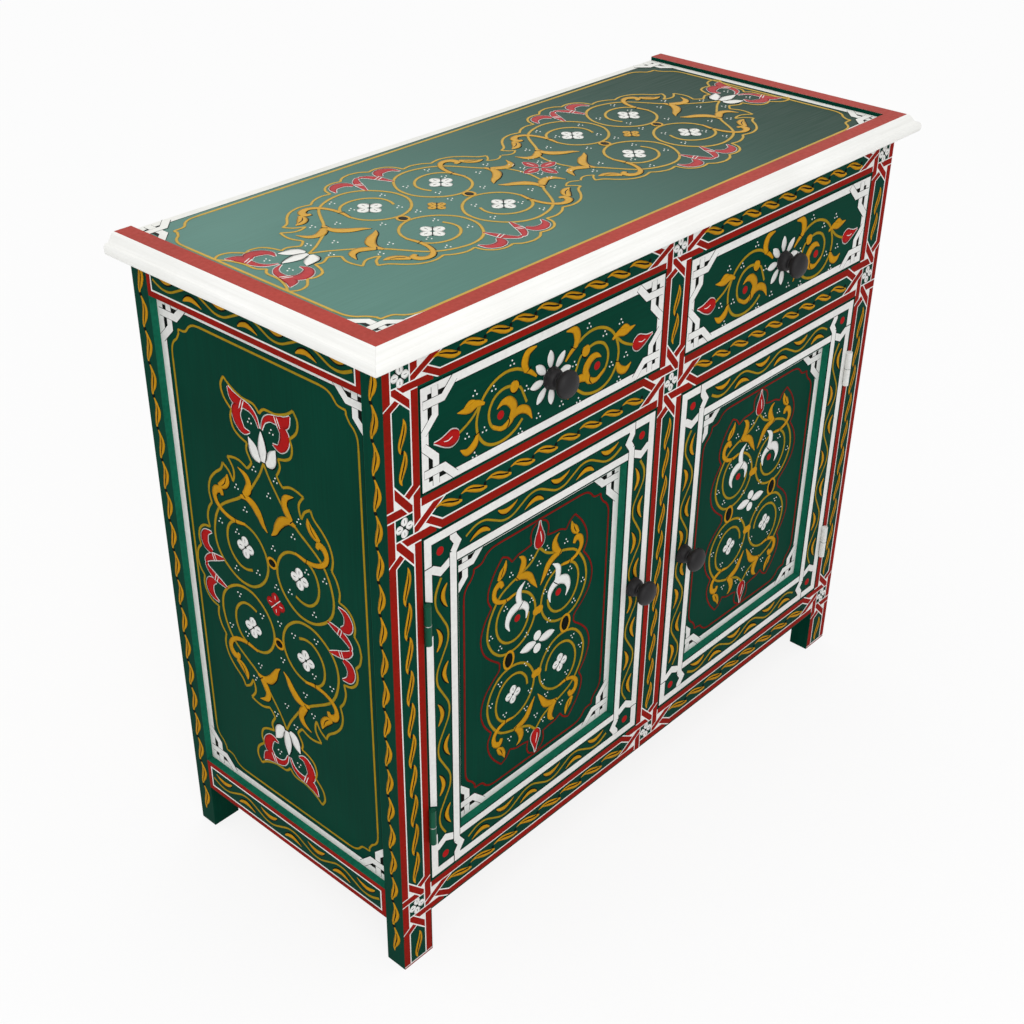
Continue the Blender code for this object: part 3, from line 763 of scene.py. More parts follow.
# Painted sides of the carcass: leaves down the posts, a waving vine along the rails inside a red border,
# and sea green on the narrow faces that step in to the panel. Painted after the frame was glued up.
def vine(face, start, end, fixed, upright, swing, half_wave, moon_middle, moon_end):
    """A waving stem with a half-moon leaf, shaded black on its round side, in every hollow."""
    moon_length = 37.0
    moon_half = 3.1
    shade_shift = 1.9
    waves = max(2, round((end - start) / half_wave))
    reach = (end - start) / waves
    stem = []
    for step in range(waves * 3 + 1):
        along = start + reach * step / 3
        offset = swing * math.sin(math.pi * step / 3)
        half = 1.4 if step < waves * 3 - 1 else 1.9
        stem.append((fixed + offset, along, half) if upright else (along, fixed + offset, half))
    face.brush("line", stem, 3)
    press = (
        (-0.43, 0.06, 1.0), (-0.24, 0.62, 0.4), (0.02, 1.0, 0.0), (0.23, 0.86, 0.26), (0.38, 0.42, 0.8),
        (0.42, 0.1, 1.0)
    )
    for index in range(waves):
        middle = start + reach * (index + 0.5)
        bulge = 1 if index % 2 == 0 else -1
        round_side = shade_shift * bulge * (1 if moon_middle > moon_end else -1)
        moon = []
        shade = []
        for share, weight, droop in press:
            offset = fixed + bulge * (moon_middle + (moon_end - moon_middle) * droop)
            along = middle + share * moon_length * bulge
            half = moon_half * weight
            moon.append((offset, along, half) if upright else (along, offset, half))
            offset += round_side
            shade.append((offset, along, half) if upright else (along, offset, half))
        face.brush("black", shade, 2)
        face.brush("gold", moon, 4)


def inner_reveals(name, body, low, high, upright_names):
    """Sea green on the four narrow faces round a recessed panel, between two corners of the recess.

    The upright faces are the back and front ones in a side, the left and right ones in a door.
    """
    middle = (Vector(low) + Vector(high)) / 2
    half = (Vector(high) - Vector(low)) / 2
    faces = {
        "bottom": ((middle.x, middle.y, low[2]), (1, 0, 0), (0, 1, 0), half.x, half.y),
        "top": ((middle.x, middle.y, high[2]), (1, 0, 0), (0, -1, 0), half.x, half.y),
        "back": ((middle.x, high[1], middle.z), (1, 0, 0), (0, 0, 1), half.x, half.z),
        "front": ((middle.x, low[1], middle.z), (-1, 0, 0), (0, 0, 1), half.x, half.z),
        "left": ((low[0], middle.y, middle.z), (0, 1, 0), (0, 0, 1), half.y, half.z),
        "right": ((high[0], middle.y, middle.z), (0, -1, 0), (0, 0, 1), half.y, half.z),
    }
    for edge in ("bottom", "top", *upright_names):
        spot, across, up, half_u, half_v = faces[edge]
        face = PaintedFace(f"{name}_{edge}_reveal", body, Vector(spot) / 1000, across, up)
        face.fill("teal", upright_box(-half_u, half_u, -half_v, half_v), 1)
        face.dry()


def post_leaves(face, middle, top):
    """Slanting leaves one below another down the side of a post, with a black dab beside each."""
    pitch = 42.0
    for index in range(int(top / pitch)):
        head = top - index * pitch - 2.0
        leaf = [
            (-1.5, 0.0, 0.8), (2.0, -7.0, 2.4), (3.8, -16.0, 4.8), (1.4, -26.0, 4.7), (-2.0, -35.0, 2.4),
            (-2.0, -42.0, 0.8)
        ]
        face.brush("gold", [(middle + u, head + v, half) for u, v, half in leaf], 3)
        slit = [(2.6, -10.0, 0.4), (3.0, -18.0, 0.9), (0.6, -28.0, 0.8), (-1.6, -36.0, 0.3)]
        face.brush("black", [(middle + u, head + v, half) for u, v, half in slit], 4)
        face.dots("black", [(middle - 1.6, head + 0.5)], 2.5, 5)


back_low, back_high = in_mm("left_back_post")
side_bottom_low, side_bottom_high = in_mm("left_bottom_rail")
side_top_low, side_top_high = in_mm("left_top_rail")
panel_face = -in_mm("left_side_panel")[0].x
for hand, side in ((1, "left"), (-1, "right")):
    plane = -hand * outer_edge / 1000
    side_frame = PaintedFace(f"{side}_side_frame", "carcass", (plane, 0, 0), (0, -hand, 0), (0, 0, 1))
    side_frame.copies = [motif_place(flip=(hand, 1))]
    post_leaves(side_frame, -(post_low.y + post_high.y) / 2, post_high.z - 4.0)
    post_leaves(side_frame, -(back_low.y + back_high.y) / 2, back_high.z - 4.0)
    rail_back = -back_low.y
    rail_front = -post_high.y
    rail_middle = (rail_back + rail_front) / 2
    rail_half = (rail_front - rail_back) / 2
    for low, high in ((side_bottom_low.z, side_bottom_high.z), (side_top_low.z, side_top_high.z)):
        level = (low + high) / 2
        half_level = (high - low) / 2
        side_frame.copies = [motif_place((hand * rail_middle, level), (hand, 1))]
        side_frame.frame_fill("red", rail_half, half_level, 8.5, 1)
        side_frame.frame_fill("white", rail_half - 6.6, half_level - 7.2, 1.9, 2)
        vine_end = rail_half - 11.0
        vine(
            side_frame, -vine_end, vine_end, 0.0, False, swing=-7.4, half_wave=45.0, moon_middle=3.6,
            moon_end=9.2
        )
    side_frame.dry()
    recess_low = (min(-hand * outer_edge, -hand * panel_face), post_high.y, side_bottom_high.z)
    recess_high = (max(-hand * outer_edge, -hand * panel_face), back_low.y, side_top_low.z)
    inner_reveals(f"{side}_side", "carcass", recess_low, recess_high, ("back", "front"))


# Side panels: thin boards let into grooves of the frame, painted with a white border tied in a knot at
# each corner, a notched ochre line inside it and a long medallion of scrolls, tulips and red leaves.
four_ways = ((1, 1), (-1, 1), (1, -1), (-1, -1))


def corner_knots(face, half_u, half_v, border, gap=5.4):
    """Two straps interlaced across each inner corner of a border, with black in the gaps."""
    kept = face.copies
    half = 4.4
    outline = half + 0.6
    middle = gap + half
    turn = middle + half + gap + 1.8
    into = 0.7 * border
    upright = [(middle, -into), (middle, turn + 4.0), (-into, turn + middle + 4.0 + into)]
    level = [(-into, middle), (turn, middle), (turn + middle + into, -into)]
    for flip_u, flip_v in four_ways:
        corner = motif_place((flip_u * (half_u - border), flip_v * (half_v - border)), (-flip_u, -flip_v))
        face.copies = [after(place, corner) for place in kept]
        face.fill("black", [(-0.5, -0.5), (middle, -0.5), (middle, middle), (-0.5, middle)], 3)
        face.fill("black", [(middle, -0.5), (turn + 6.0, -0.5), (turn, middle), (middle, middle)], 3)
        face.fill(
            "black", [(-0.5, middle), (middle, middle), (middle, turn + 4.0), (-0.5, turn + 10.0)], 3
        )
        face.line("black", upright, outline, 3)
        face.line("white", upright, half, 4)
        face.line("black", level, outline, 5)
        face.line("white", level, half, 6)
    face.copies = kept


def after(outer, inner):
    """One place worked out after another."""
    return lambda u, v: outer(*inner(u, v))


def notched_line(face, paint, half_u, half_v, border, half, depth=1.0):
    """A thin line inside a border, stepped in round the knot at each corner."""
    kept = face.copies
    inset = 7.6
    notch = 54.4
    run = inset + notch * depth
    steps = (
        [(0.0, notch), (0.8, 42.4), (4.9, 33.4), (11.4, 27.4), (16.4, 19.4)],
        [(16.4, 19.9), (16.7, 15.0), (21.9, 14.6)],
        [(21.4, 14.6), (29.4, 12.9), (36.4, 5.4), (44.4, 1.2), (notch, 0.0)],
    )
    inner_u = half_u - border
    inner_v = half_v - border
    for flip in (1, -1):
        level = flip * (inner_v - inset)
        upright = flip * (inner_u - inset)
        face.line(paint, [(run - inner_u, level), (inner_u - run, level)], half, 3)
        face.line(paint, [(upright, run - inner_v), (upright, inner_v - run)], half, 3)
    for flip_u in (1, -1):
        for flip_v in (1, -1):
            corner = motif_place((flip_u * inner_u, flip_v * inner_v), (-flip_u, -flip_v))
            face.copies = [after(place, corner) for place in kept]
            for step in steps:
                face.brush(paint, [(inset + u * depth, inset + v * depth, half) for u, v in step], 3)
    face.copies = kept


def oval(centre, reach_u, reach_v, half):
    """Points of a closed oval."""
    turns = [math.tau * step / 10 for step in range(10)]
    return [
        (centre[0] + reach_u * math.cos(turn), centre[1] + reach_v * math.sin(turn), half)
        for turn in turns
    ]


def sprinkle(face, middles, spread=2.8, radius=1.05):
    """Groups of three small white dots."""
    for u, v in middles:
        low = v - spread * 0.7
        face.dots("white", [(u, v + spread), (u - spread, low), (u + spread, low)], radius, 4)


def scroll_quarter(face):
    """One quarter of the medallion: a stem that winds into a ring and a spiral, with its three leaves."""
    stem = [
        (28, 142), (48, 124), (63, 114), (78, 104), (88, 95), (96, 82), (101, 67), (103, 51), (100, 35),
        (92, 22)
    ]
    ring = [
        (80, 12), (67, 5.5), (54, 3.5), (40, 5.5), (27, 13), (16.5, 24), (10, 37), (8, 50), (11, 64),
        (19, 77)
    ]
    ring += [
        (30, 85.5), (43, 89), (57, 88), (68, 83), (76, 73), (79.3, 59), (77, 45), (70, 34), (60, 27),
        (48.5, 26), (38, 29.5)
    ]
    face.stem(stem + ring, 1.9)
    face.leaf([(41, 131, 3), (34, 138, 5.6), (30, 148, 5), (34, 158, 4), (47, 164, 0.5)])
    face.leaf(
        [(47, 126, 2.5), (36, 128, 4), (25, 124, 6), (16, 114, 5.5), (10, 103, 3.5), (3.5, 96, 0.6)]
    )
    face.leaf(
        [
            (43, 90, 1.8), (62, 87, 2.8), (80, 90, 3), (92, 98, 3.5), (96, 108, 4), (92, 117, 5),
            (84, 119, 4.4), (81, 113, 2.6)
        ]
    )
    face.leaf([(86, 124, 3), (77, 129, 6), (70, 137, 5), (68, 146, 0.8)])
    face.brush("black", [(80, 126, 0.4), (74, 132, 0.7), (71, 140, 0.3)], 6)
    face.brush("black", [(44, 132, 0.3), (38, 127, 0.8)], 6)
    face.brush("black", [(62, 91, 0.3), (60, 83, 0.8)], 6)
    sprinkle(face, [(53, 136), (41, 111), (60, 73), (90, 75), (28, 31), (68, 19)])
    face.stem([(74, 159), (79, 149), (92, 138), (102, 125), (106, 109), (103, 94)])
    face.stem([(103, 94), (110, 84), (114, 70), (112, 57)])
    face.stem([(112, 57), (124, 54), (133, 45), (136, 33), (134, 22)])
    face.stem([(134, 22), (141, 13), (144, 0)])
    face.edged(
        "bright red",
        [
            (90, 21, 0.8), (102, 17.5, 3.4), (112, 14.5, 4.6), (121, 9.5, 4.0), (127, 3.5, 2.4),
            (125.5, 0, 1.6)
        ]
    )
    face.edged(
        "bright red", [(113, 21, 3.0), (122.5, 26, 6.0), (125.5, 35, 6.4), (121, 45, 4.4), (110, 50, 0.5)]
    )
    face.brush("white", [(110, 9, 0.4), (114, 20, 0.6)], 6)
    face.brush("white", [(106, 11, 0.4), (110, 21, 0.6)], 6)


stem_end = 187


def beyond_stem(points, reach):
    """Points of the tulip, with what lies past the end of its stem drawn in to a share of its length."""
    return [
        (u, v if v < stem_end else stem_end + (v - stem_end) * reach, *half) for u, v, *half in points
    ]


def tulip_end(face, reach=1.0):
    """The end of the medallion: a white tulip, a pair of red leaves and the line round them."""
    face.stem([(0, stem_end), (8, 171), (18, 156), (28, 142)])
    petal = [(5, 187, 3), (12.5, 192, 8), (17.5, 202, 7.4), (23.5, 212, 1)]
    face.brush("black", beyond_stem(petal, reach), 2)
    petal = [(5, 188, 3), (12.5, 193, 7.2), (17, 203, 6.6), (22.5, 212, 0.5)]
    face.brush("white", beyond_stem(petal, reach), 5)
    leaf = [(2, 230, 0.8), (7, 242, 2.6), (16, 249, 3.8), (28, 251, 5), (42, 253, 7), (51, 264, 0.6)]
    face.edged("bright red", beyond_stem(leaf, reach))
    leaf = [(30, 249, 3.4), (39.5, 239, 7), (38.5, 227, 7.2), (30, 217.5, 4.8), (19, 219, 0.6)]
    face.edged("bright red", beyond_stem(leaf, reach))
    for shift in (0, 4):
        vein = [(25 + shift, 255, 0.4), (27 + shift, 250, 0.7), (30 + shift, 243, 0.4)]
        face.brush("white", beyond_stem(vein, reach), 6)
    outline = (
        [(0, 249), (9, 257), (28, 258), (46, 265), (57, 273)],
        [(57, 273), (63, 262), (60, 248), (48, 236)],
        [(48, 236), (51, 226), (48, 214), (39, 207), (26, 203)],
        [(26, 203), (28, 193), (21, 180)],
        [(21, 180), (25, 174), (30, 169)],
        [(30, 169), (42, 174), (53, 174), (64, 171)],
        [(64, 171), (56, 160), (55, 150), (58, 141)],
        [(58, 141), (64, 152), (74, 159)],
    )
    for run in outline:
        face.stem(beyond_stem(run, reach))
    sprinkle(face, beyond_stem([(18, 233), (18, 173)], reach))


def tulip_petal(face, reach=1.0):
    """The upright petal of the tulip, on the medallion's axis."""
    petal = [(0.6, 188, 4), (0.6, 203, 8), (0.6, 216, 6), (0.6, 228, 0.8)]
    face.brush("black", beyond_stem(petal, reach), 5)
    petal = [(0, 189, 3), (0, 203, 7), (0, 216, 5), (0, 227, 0.5)]
    face.brush("white", beyond_stem(petal, reach), 6)


def link(face, at):
    """A gilt ring that ties two scrolls, with a black eye, and the dots above and below it."""
    face.brush("gold", oval((0, at), 7.4, 6.4, 1.6), 5, closed=True)
    face.brush("black", [(-5, at, 2.2), (0, at, 4.4), (5, at, 2.2)], 4)
    sprinkle(face, [(4, 148), (4, 79), (4, 26)])


panel_border = 10.5
for hand, side in ((1, "left"), (-1, "right")):
    middle_y = (post_high.y + back_low.y) / 2
    middle_z = (side_bottom_high.z + side_top_low.z) / 2
    half_u = (back_low.y - post_high.y) / 2
    half_v = (side_top_low.z - side_bottom_high.z) / 2
    middle = Vector((-hand * panel_face, middle_y, middle_z)) / 1000
    face = PaintedFace(f"{side}_side_panel", "carcass", middle, (0, -hand, 0), (0, 0, 1))
    face.frame_fill("black", half_u, half_v, panel_border + 1.0, 1)
    face.frame_fill("white", half_u, half_v, panel_border, 2)
    corner_knots(face, half_u, half_v, panel_border)
    notched_line(face, "line", half_u, half_v, panel_border, 1.4)
    # The medallion sits a little low and to the back of the panel's middle
    centre = (-5.0 * hand, -5.0)
    face.copies = [motif_place(centre, flip) for flip in four_ways]
    scroll_quarter(face)
    tulip_end(face)
    face.copies = [motif_place(centre, (1, 1)), motif_place(centre, (1, -1))]
    tulip_petal(face)
    link(face, 57)
    for flip in four_ways:
        face.copies = [motif_place((centre[0] + 47 * flip[0], centre[1] + 57 * flip[1]))]
        flower(face, "white", 8.2, 6.6, 4, slope=1)
    face.copies = [motif_place(centre)]
    flower(face, "bright red", 8.8, 6.9, 4, vein="white", slope=1)
    face.dry()


# Top: a wide green board inside a moulded lip. The moulding runs round the front and both ends, mitred
# at the front corners, and is painted white outside, red on the flat of the lip and green inside it.
top_high = in_mm("top_panel")[1]
lip_low, lip_high = in_mm("front_moulding")
end_high = in_mm("left_moulding")[1]
nose_edge = -lip_low.x
lip_edge = -end_high.x
lip_front = lip_high.y
lip_under = lip_low.z
lip_top = lip_high.z
top_back = end_high.y
lip_flat = 22.8
slope_drop = 10.5


def moulding_section():
    """Outline of the moulding: outwards from the panel and up from its underside, in millimetres."""
    rise = lip_top - lip_under
    reach = nose_edge - lip_edge
    nose_radius = 3.0
    points = [(0.0, 0.0), (0.0, rise - 0.8), (0.25, rise - 0.25), (0.8, rise), (lip_flat - 0.8, rise)]
    slope_run = reach - lip_flat - nose_radius - 1.2
    for step in range(13):
        share = step / 12
        fall = share - 0.12 * math.sin(math.tau * share)
        points.append((lip_flat + slope_run * share, rise - 0.3 - (slope_drop - 0.3) * fall))
    nose_high = rise - slope_drop
    for step in range(17):
        angle = math.pi / 2 - math.pi * step / 16
        out = reach - nose_radius + nose_radius * math.cos(angle)
        points.append((out, nose_high / 2 + nose_high / 2 * math.sin(angle)))
    return points


def moulding(name, ends, material):
    """A length of moulding between two ends, each a function from the reach outwards to a place."""
    made = bmesh.new()
    rings = []
    for end in ends:
        rings.append([made.verts.new(end(out, up)) for out, up in moulding_section()])
    count = len(rings[0])
    for index in range(count):
        after_it = (index + 1) % count
        made.faces.new((rings[0][index], rings[0][after_it], rings[1][after_it], rings[1][index]))
    made.faces.new(rings[0])
    made.faces.new(list(reversed(rings[1])))
    bmesh.ops.recalc_face_normals(made, faces=made.faces[:])
    mesh = bpy.data.meshes.new(name)
    made.to_mesh(mesh)
    made.free()
    mesh.shade_smooth()
    mesh.set_sharp_from_angle(angle=math.radians(35.0))
    mesh.materials.append(material)
    return set_piece(name, mesh, "carcass", "white_paint")


# Thick cool white with faint brush lines along the moulding
white_level = oil_paint("white_gloss_oil_paint_level", "#fafaf7", "#f0f0ec", 0.38, along=0)
white_deep = oil_paint("white_gloss_oil_paint_front_to_back", "#fafaf7", "#f0f0ec", 0.38, along=1)
mitre = 0.05


def front_end(hand):
    """The mitred end of the front moulding on one hand."""
    return lambda out, up: Vector(
        (hand * (lip_edge + out - mitre), lip_front - out, lip_under + up)
    ) / 1000


def side_ends(hand):
    """The mitred front end and the square back end of a side moulding."""
    def fore(out, up):
        return Vector((hand * (lip_edge + out), lip_front - out + mitre, lip_under + up)) / 1000

    def rear(out, up):
        return Vector((hand * (lip_edge + out), top_back, lip_under + up)) / 1000
    return fore, rear


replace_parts(moulding("front_lip", (front_end(-1), front_end(1)), white_level), "front_moulding")
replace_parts(moulding("left_lip", side_ends(-1), white_deep), "left_moulding")
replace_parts(moulding("right_lip", side_ends(1), white_deep), "right_moulding")

# The top is painted paler than the front, a painted sheen for the light of the room on it, and it
# darkens from its pale left end to dark green at its right end, a painted highlight that falls away
sheen_painted_green_top = oil_paint(
    "sheen_painted_green_gloss_oil_paint", "#528074", "#608c81", 0.36, along=0, cloud=220.0, shine=0.2
)
tree = sheen_painted_green_top.node_tree
place = add_node(tree, "ShaderNodeTexCoord").outputs["Object"]
along_top = add_node(tree, "ShaderNodeSeparateXYZ", {0: place}).outputs["X"]
reach = {"Value": along_top, "From Min": -lip_edge / 1000, "From Max": lip_edge / 1000}
kept = add_node(tree, "ShaderNodeMapRange", reach, interpolation_type="SMOOTHSTEP").outputs[0]
base_colour = tree.nodes["Principled BSDF"].inputs["Base Color"]
# Pale at the left end and dark green at the right: a painted sheen, mixed into the paint's colour
painted_sheen_fade = {0: kept, 6: base_colour.links[0].from_socket, 7: linear("#083a2a")}
tree.links.new(add_node(tree, "ShaderNodeMix", painted_sheen_fade, data_type="RGBA").outputs[2], base_colour)
finish_board("top_panel", sheen_painted_green_top)

# The paints of the top lie under a varnish, which shows the light of the room over them. Their colours
# are also painted paler than the same paints on the front and sides, a painted sheen.
varnish_roughness = 0.42
varnish_shine = 0.2
varnished_with_painted_sheen = {}
for paint, label, full, thin in (
    ("red", "red", "#b63c30", "#a6382c"),
    ("bright red", "cinnabar", "#c03a3e", "#b0383a"),
    ("white", "white", "#f7f7f1", "#ecece6"),
    ("gold", "ochre", "#dfaa40", "#cfa03c"),
    ("line", "thin_ochre", "#d7ad46", "#c4a346"),
    ("black", "black", "#0d100e", "#131714"),
):
    coat = paint_for_ornament(
        f"varnished_{label}_oil_paint", full, thin, varnish_roughness, varnish_shine
    )
    varnished_with_painted_sheen[paint] = (coat, paints[paint][1])
lip = PaintedFace("lip_flat", "carcass", (0, 0, lip_top / 1000), (1, 0, 0), (0, 1, 0), varnished_with_painted_sheen)
lip_in = lip_flat - 0.8
film_back = top_back - 0.5
film_front = lip_front - lip_in
film_edge = lip_edge + lip_in
for hand in (-1, 1):
    inside = hand * lip_edge
    outside = hand * film_edge
    lip.fill(
        "red", [(inside, film_back), (outside, film_back), (outside, film_front), (inside, lip_front)], 1
    )
lip.fill(
    "red",
    [(-lip_edge, lip_front), (lip_edge, lip_front), (film_edge, film_front), (-film_edge, film_front)], 1
)
lip.dry()
lip_level = (top_high.z + lip_top) / 2
lip_half = (lip_top - top_high.z) / 2 - 0.3
lip_middle = (lip_front + top_back) / 2
lip_run = (top_back - lip_front) / 2 - 0.5
for name, middle, across, half_run in (
    ("left_lip_inside", (-lip_edge, lip_middle, lip_level), (0, 1, 0), lip_run),
    ("right_lip_inside", (lip_edge, lip_middle, lip_level), (0, -1, 0), lip_run),
    ("front_lip_inside", (0, lip_front, lip_level), (-1, 0, 0), lip_edge - 0.5),
):
    face = PaintedFace(name, "carcass", Vector(middle) / 1000, across, (0, 0, 1))
    face.fill("green", upright_box(-half_run, half_run, -lip_half, lip_half), 0)
    face.dry()


def meeting_end(face):
    """The inner end of a medallion on the top, where two of them meet at the middle flower."""
    face.stem([(28, 142), (18, 145), (8, 147), (0, 147)])
    face.stem([(74, 159), (66, 153), (62, 147)], 1.4)
    face.stem([(62, 147), (57, 155), (57, 163), (62, 171)], 1.4)
    sprinkle(face, [(14, 158), (30, 156)])


half_u = lip_edge
half_v = (top_high.y - lip_front) / 2
middle_y = (top_high.y + lip_front) / 2
top_face = PaintedFace(
    "top", "carcass", (0, middle_y / 1000, top_high.z / 1000), (1, 0, 0), (0, 1, 0), varnished_with_painted_sheen
)
left_border = 7.0
line_left = 3.2
line_down = 4.0
top_face.frame_fill("black", half_u, half_v, panel_border + 0.8, 1, left_border + 0.8)
top_face.frame_fill("white", half_u, half_v, panel_border, 2, left_border)
corner_knots(top_face, half_u, half_v, panel_border, 3.8)
# The line lies closer to the lip at the front and the left than the border does
top_face.copies = [motif_place((-line_left, -line_down))]
notched_line(top_face, "line", half_u + line_left, half_v + line_down, panel_border, 1.7, 1.15)
unit_scale = 1.02
unit_x = 175.5
unit_y = 30.0 - middle_y
tulip_reach = 0.90
for hand in (-1, 1):
    unit = (hand * unit_x, unit_y)
    top_face.copies = [motif_place(unit, flip, unit_scale, True) for flip in four_ways]
    scroll_quarter(top_face)
    top_face.copies = [motif_place(unit, (hand, flip), unit_scale, True) for flip in (1, -1)]
    tulip_end(top_face, tulip_reach)
    top_face.copies = [motif_place(unit, (-hand, flip), unit_scale, True) for flip in (1, -1)]
    meeting_end(top_face)
    top_face.copies = [motif_place(unit, (hand, 1), unit_scale, True)]
    tulip_petal(top_face, tulip_reach)
    top_face.copies = [motif_place(unit, (flip, 1), unit_scale, True) for flip in (1, -1)]
    link(top_face, 52)
    for flip in four_ways:
        top_face.copies = [motif_place((unit[0] + 57 * flip[0], unit[1] + 50 * flip[1]))]
        flower(top_face, "white", 9.6, 7.4, 4, slope=1)
    top_face.copies = [motif_place(unit)]
    flower(top_face, "gold", 7.2, 5.6, 4, slope=1)
top_face.copies = [motif_place((0, unit_y))]
for end in ((28, 0), (-28, 0), (0, 28), (0, -28)):
    start = (end[0] * 0.1, end[1] * 0.1)
    top_face.edged("bright red", lens(start, end, 7.2), 5, rim=1.1)
    top_face.brush("white", [(end[0] * 0.35, end[1] * 0.35, 0.3), (end[0] * 0.75, end[1] * 0.75, 0.4)], 7)
top_face.copies = [motif_place()]
top_face.dry()


# Drawer fronts: flush boards of planed softwood in green, inside a white border knotted at the corners,
# with a white daisy round the knob and a scroll of leaves and a red bud on either side of it.
drawer_border = 9.8
petal_count = 8
petal_turn = 0.06
petal_start = 11.0
petal_end = 33.0


def drawer_scroll(face):
    """One half of a drawer's ornament, drawn on the left of the knob."""
    sweep = [
        (-39, 22.5), (-55, 30.5), (-73, 32.7), (-91, 27.6), (-105, 17), (-113, 3), (-116, -11),
        (-113, -26), (-103, -39), (-89, -45.5), (-73, -46), (-57, -41), (-45, -32)
    ]
    face.stem(sweep, 1.9)
    face.leaf([(-36, 19, 1.6), (-42.6, 31, 5.4), (-38, 43, 4.8), (-24, 46, 0.8)])
    face.leaf([(-43, 24, 2.2), (-33, 19, 2.8), (-23.5, 10.5, 1.4)])
    face.brush("black", [(-40, 20, 0.3), (-32, 25, 0.7)], 6)
    spiral = [(-58, 12), (-73, 15), (-88, 10), (-96.5, -2), (-96.5, -15), (-90, -26), (-78.5, -31)]
    face.stem(spiral, 1.9)
    face.leaf([(-92, -23, 1.8), (-78.5, -31, 3), (-65.7, -28, 4.4), (-60, -21, 4)])
    face.leaf([(-64, -25, 3.6), (-50, -19.5, 5.2), (-37, -25, 4.4), (-29.5, -38, 0.5)])
    face.leaf(
        [(-64, -25, 3.6), (-58.6, -13.5, 5.6), (-65.7, -3, 5.6), (-76, -0.6, 3.8), (-85, -5.5, 0.5)]
    )
    face.brush("black", [(-70, -33.5, 0.3), (-66, -28, 0.8), (-67, -22, 0.3)], 6)
    face.stem([(-58, 11), (-49, 7), (-43, -4.5), (-38.5, -14.5)])
    face.brush("black", [(-65, 10, 3), (-57.2, 10.2, 8.2), (-50, 10, 3)], 3)
    face.dots("gold", [(-58, 11)], 7.5, 5)
    face.dots("bright red", [(-79, -14.7)], 5.4, 4)
    face.leaf([(-104, 9, 1.6), (-116, 13, 4.6), (-128, 11, 5), (-144, 13, 0.5)])
    face.leaf([(-114, 15, 1.0), (-125, 17.5, 3.4), (-133, 13, 2.6)])
    face.leaf([(-114, -22, 2.0), (-119, -33, 5), (-130, -38, 4.6), (-140, -32, 0.6)])
    face.brush("black", [(-120, -24, 0.3), (-111, -21, 0.7)], 6)
    face.stem([(-108, 13), (-120, 1), (-131, -6), (-143, -11)])
    bud = [
        (-141.5, -11, 2.6), (-144, -11.2, 6.4), (-149, -11.6, 8.8), (-155, -11.8, 9.0), (-161, -11.6, 7.0)
    ]
    bud += [(-167, -10.8, 4.2), (-172, -9.6, 2.2), (-178, -8, 0.4)]
    face.edged("bright red", bud, 5, rim=1.4)
    face.brush("white", [(-152, -10.5, 0.3), (-158, -12.5, 0.6), (-164, -11.5, 0.3)], 7)
    sprinkle(
        face,
        [
            (-62, 40), (-118, 26), (-90, 21), (-39, 2), (-130, -19), (-104, -22), (-119, -46), (-48, -46),
            (-19, -39)
        ]
    )


for hand, side in ((-1, "left"), (1, "right")):
    low, high = in_mm(f"{side}_drawer_front")
    finish_board(f"{side}_drawer_front", green_level)
    middle = ((low.x + high.x) / 2000, low.y / 1000, (low.z + high.z) / 2000)
    face = PaintedFace(f"{side}_drawer_face", f"{side}_drawer", middle, (1, 0, 0), (0, 0, 1))
    half_u = (high.x - low.x) / 2 - 0.6
    half_v = (high.z - low.z) / 2 - 0.6
    face.frame_fill("black", half_u, half_v, drawer_border + 0.9, 1)
    face.frame_fill("white", half_u, half_v, drawer_border, 2)
    corner_knots(face, half_u, half_v, drawer_border)
    face.copies = [motif_place(flip=(flip, 1)) for flip in (1, -1)]
    drawer_scroll(face)
    face.copies = [motif_place()]
    for petal in range(petal_count):
        angle = math.tau * (petal + petal_turn) / petal_count
        start = (petal_start * math.cos(angle), petal_start * math.sin(angle))
        end = (petal_end * math.cos(angle), petal_end * math.sin(angle))
        face.brush("black", lens(end, start, 6.0), 3, shift=(0.6, -0.6))
        face.brush("white", lens(end, start, 5.4), 4)
    face.dots("white", [(0, 0)], 13.0, 4)
    face.dry()


# Doors: stiles and rails tenoned together round a thin panel in a groove, all in green. A white border
# and inner straps cross at the corners, a vine fills the frame, and a red line rings the medallion.
door_border = 10.4
lattice_half = 4.9


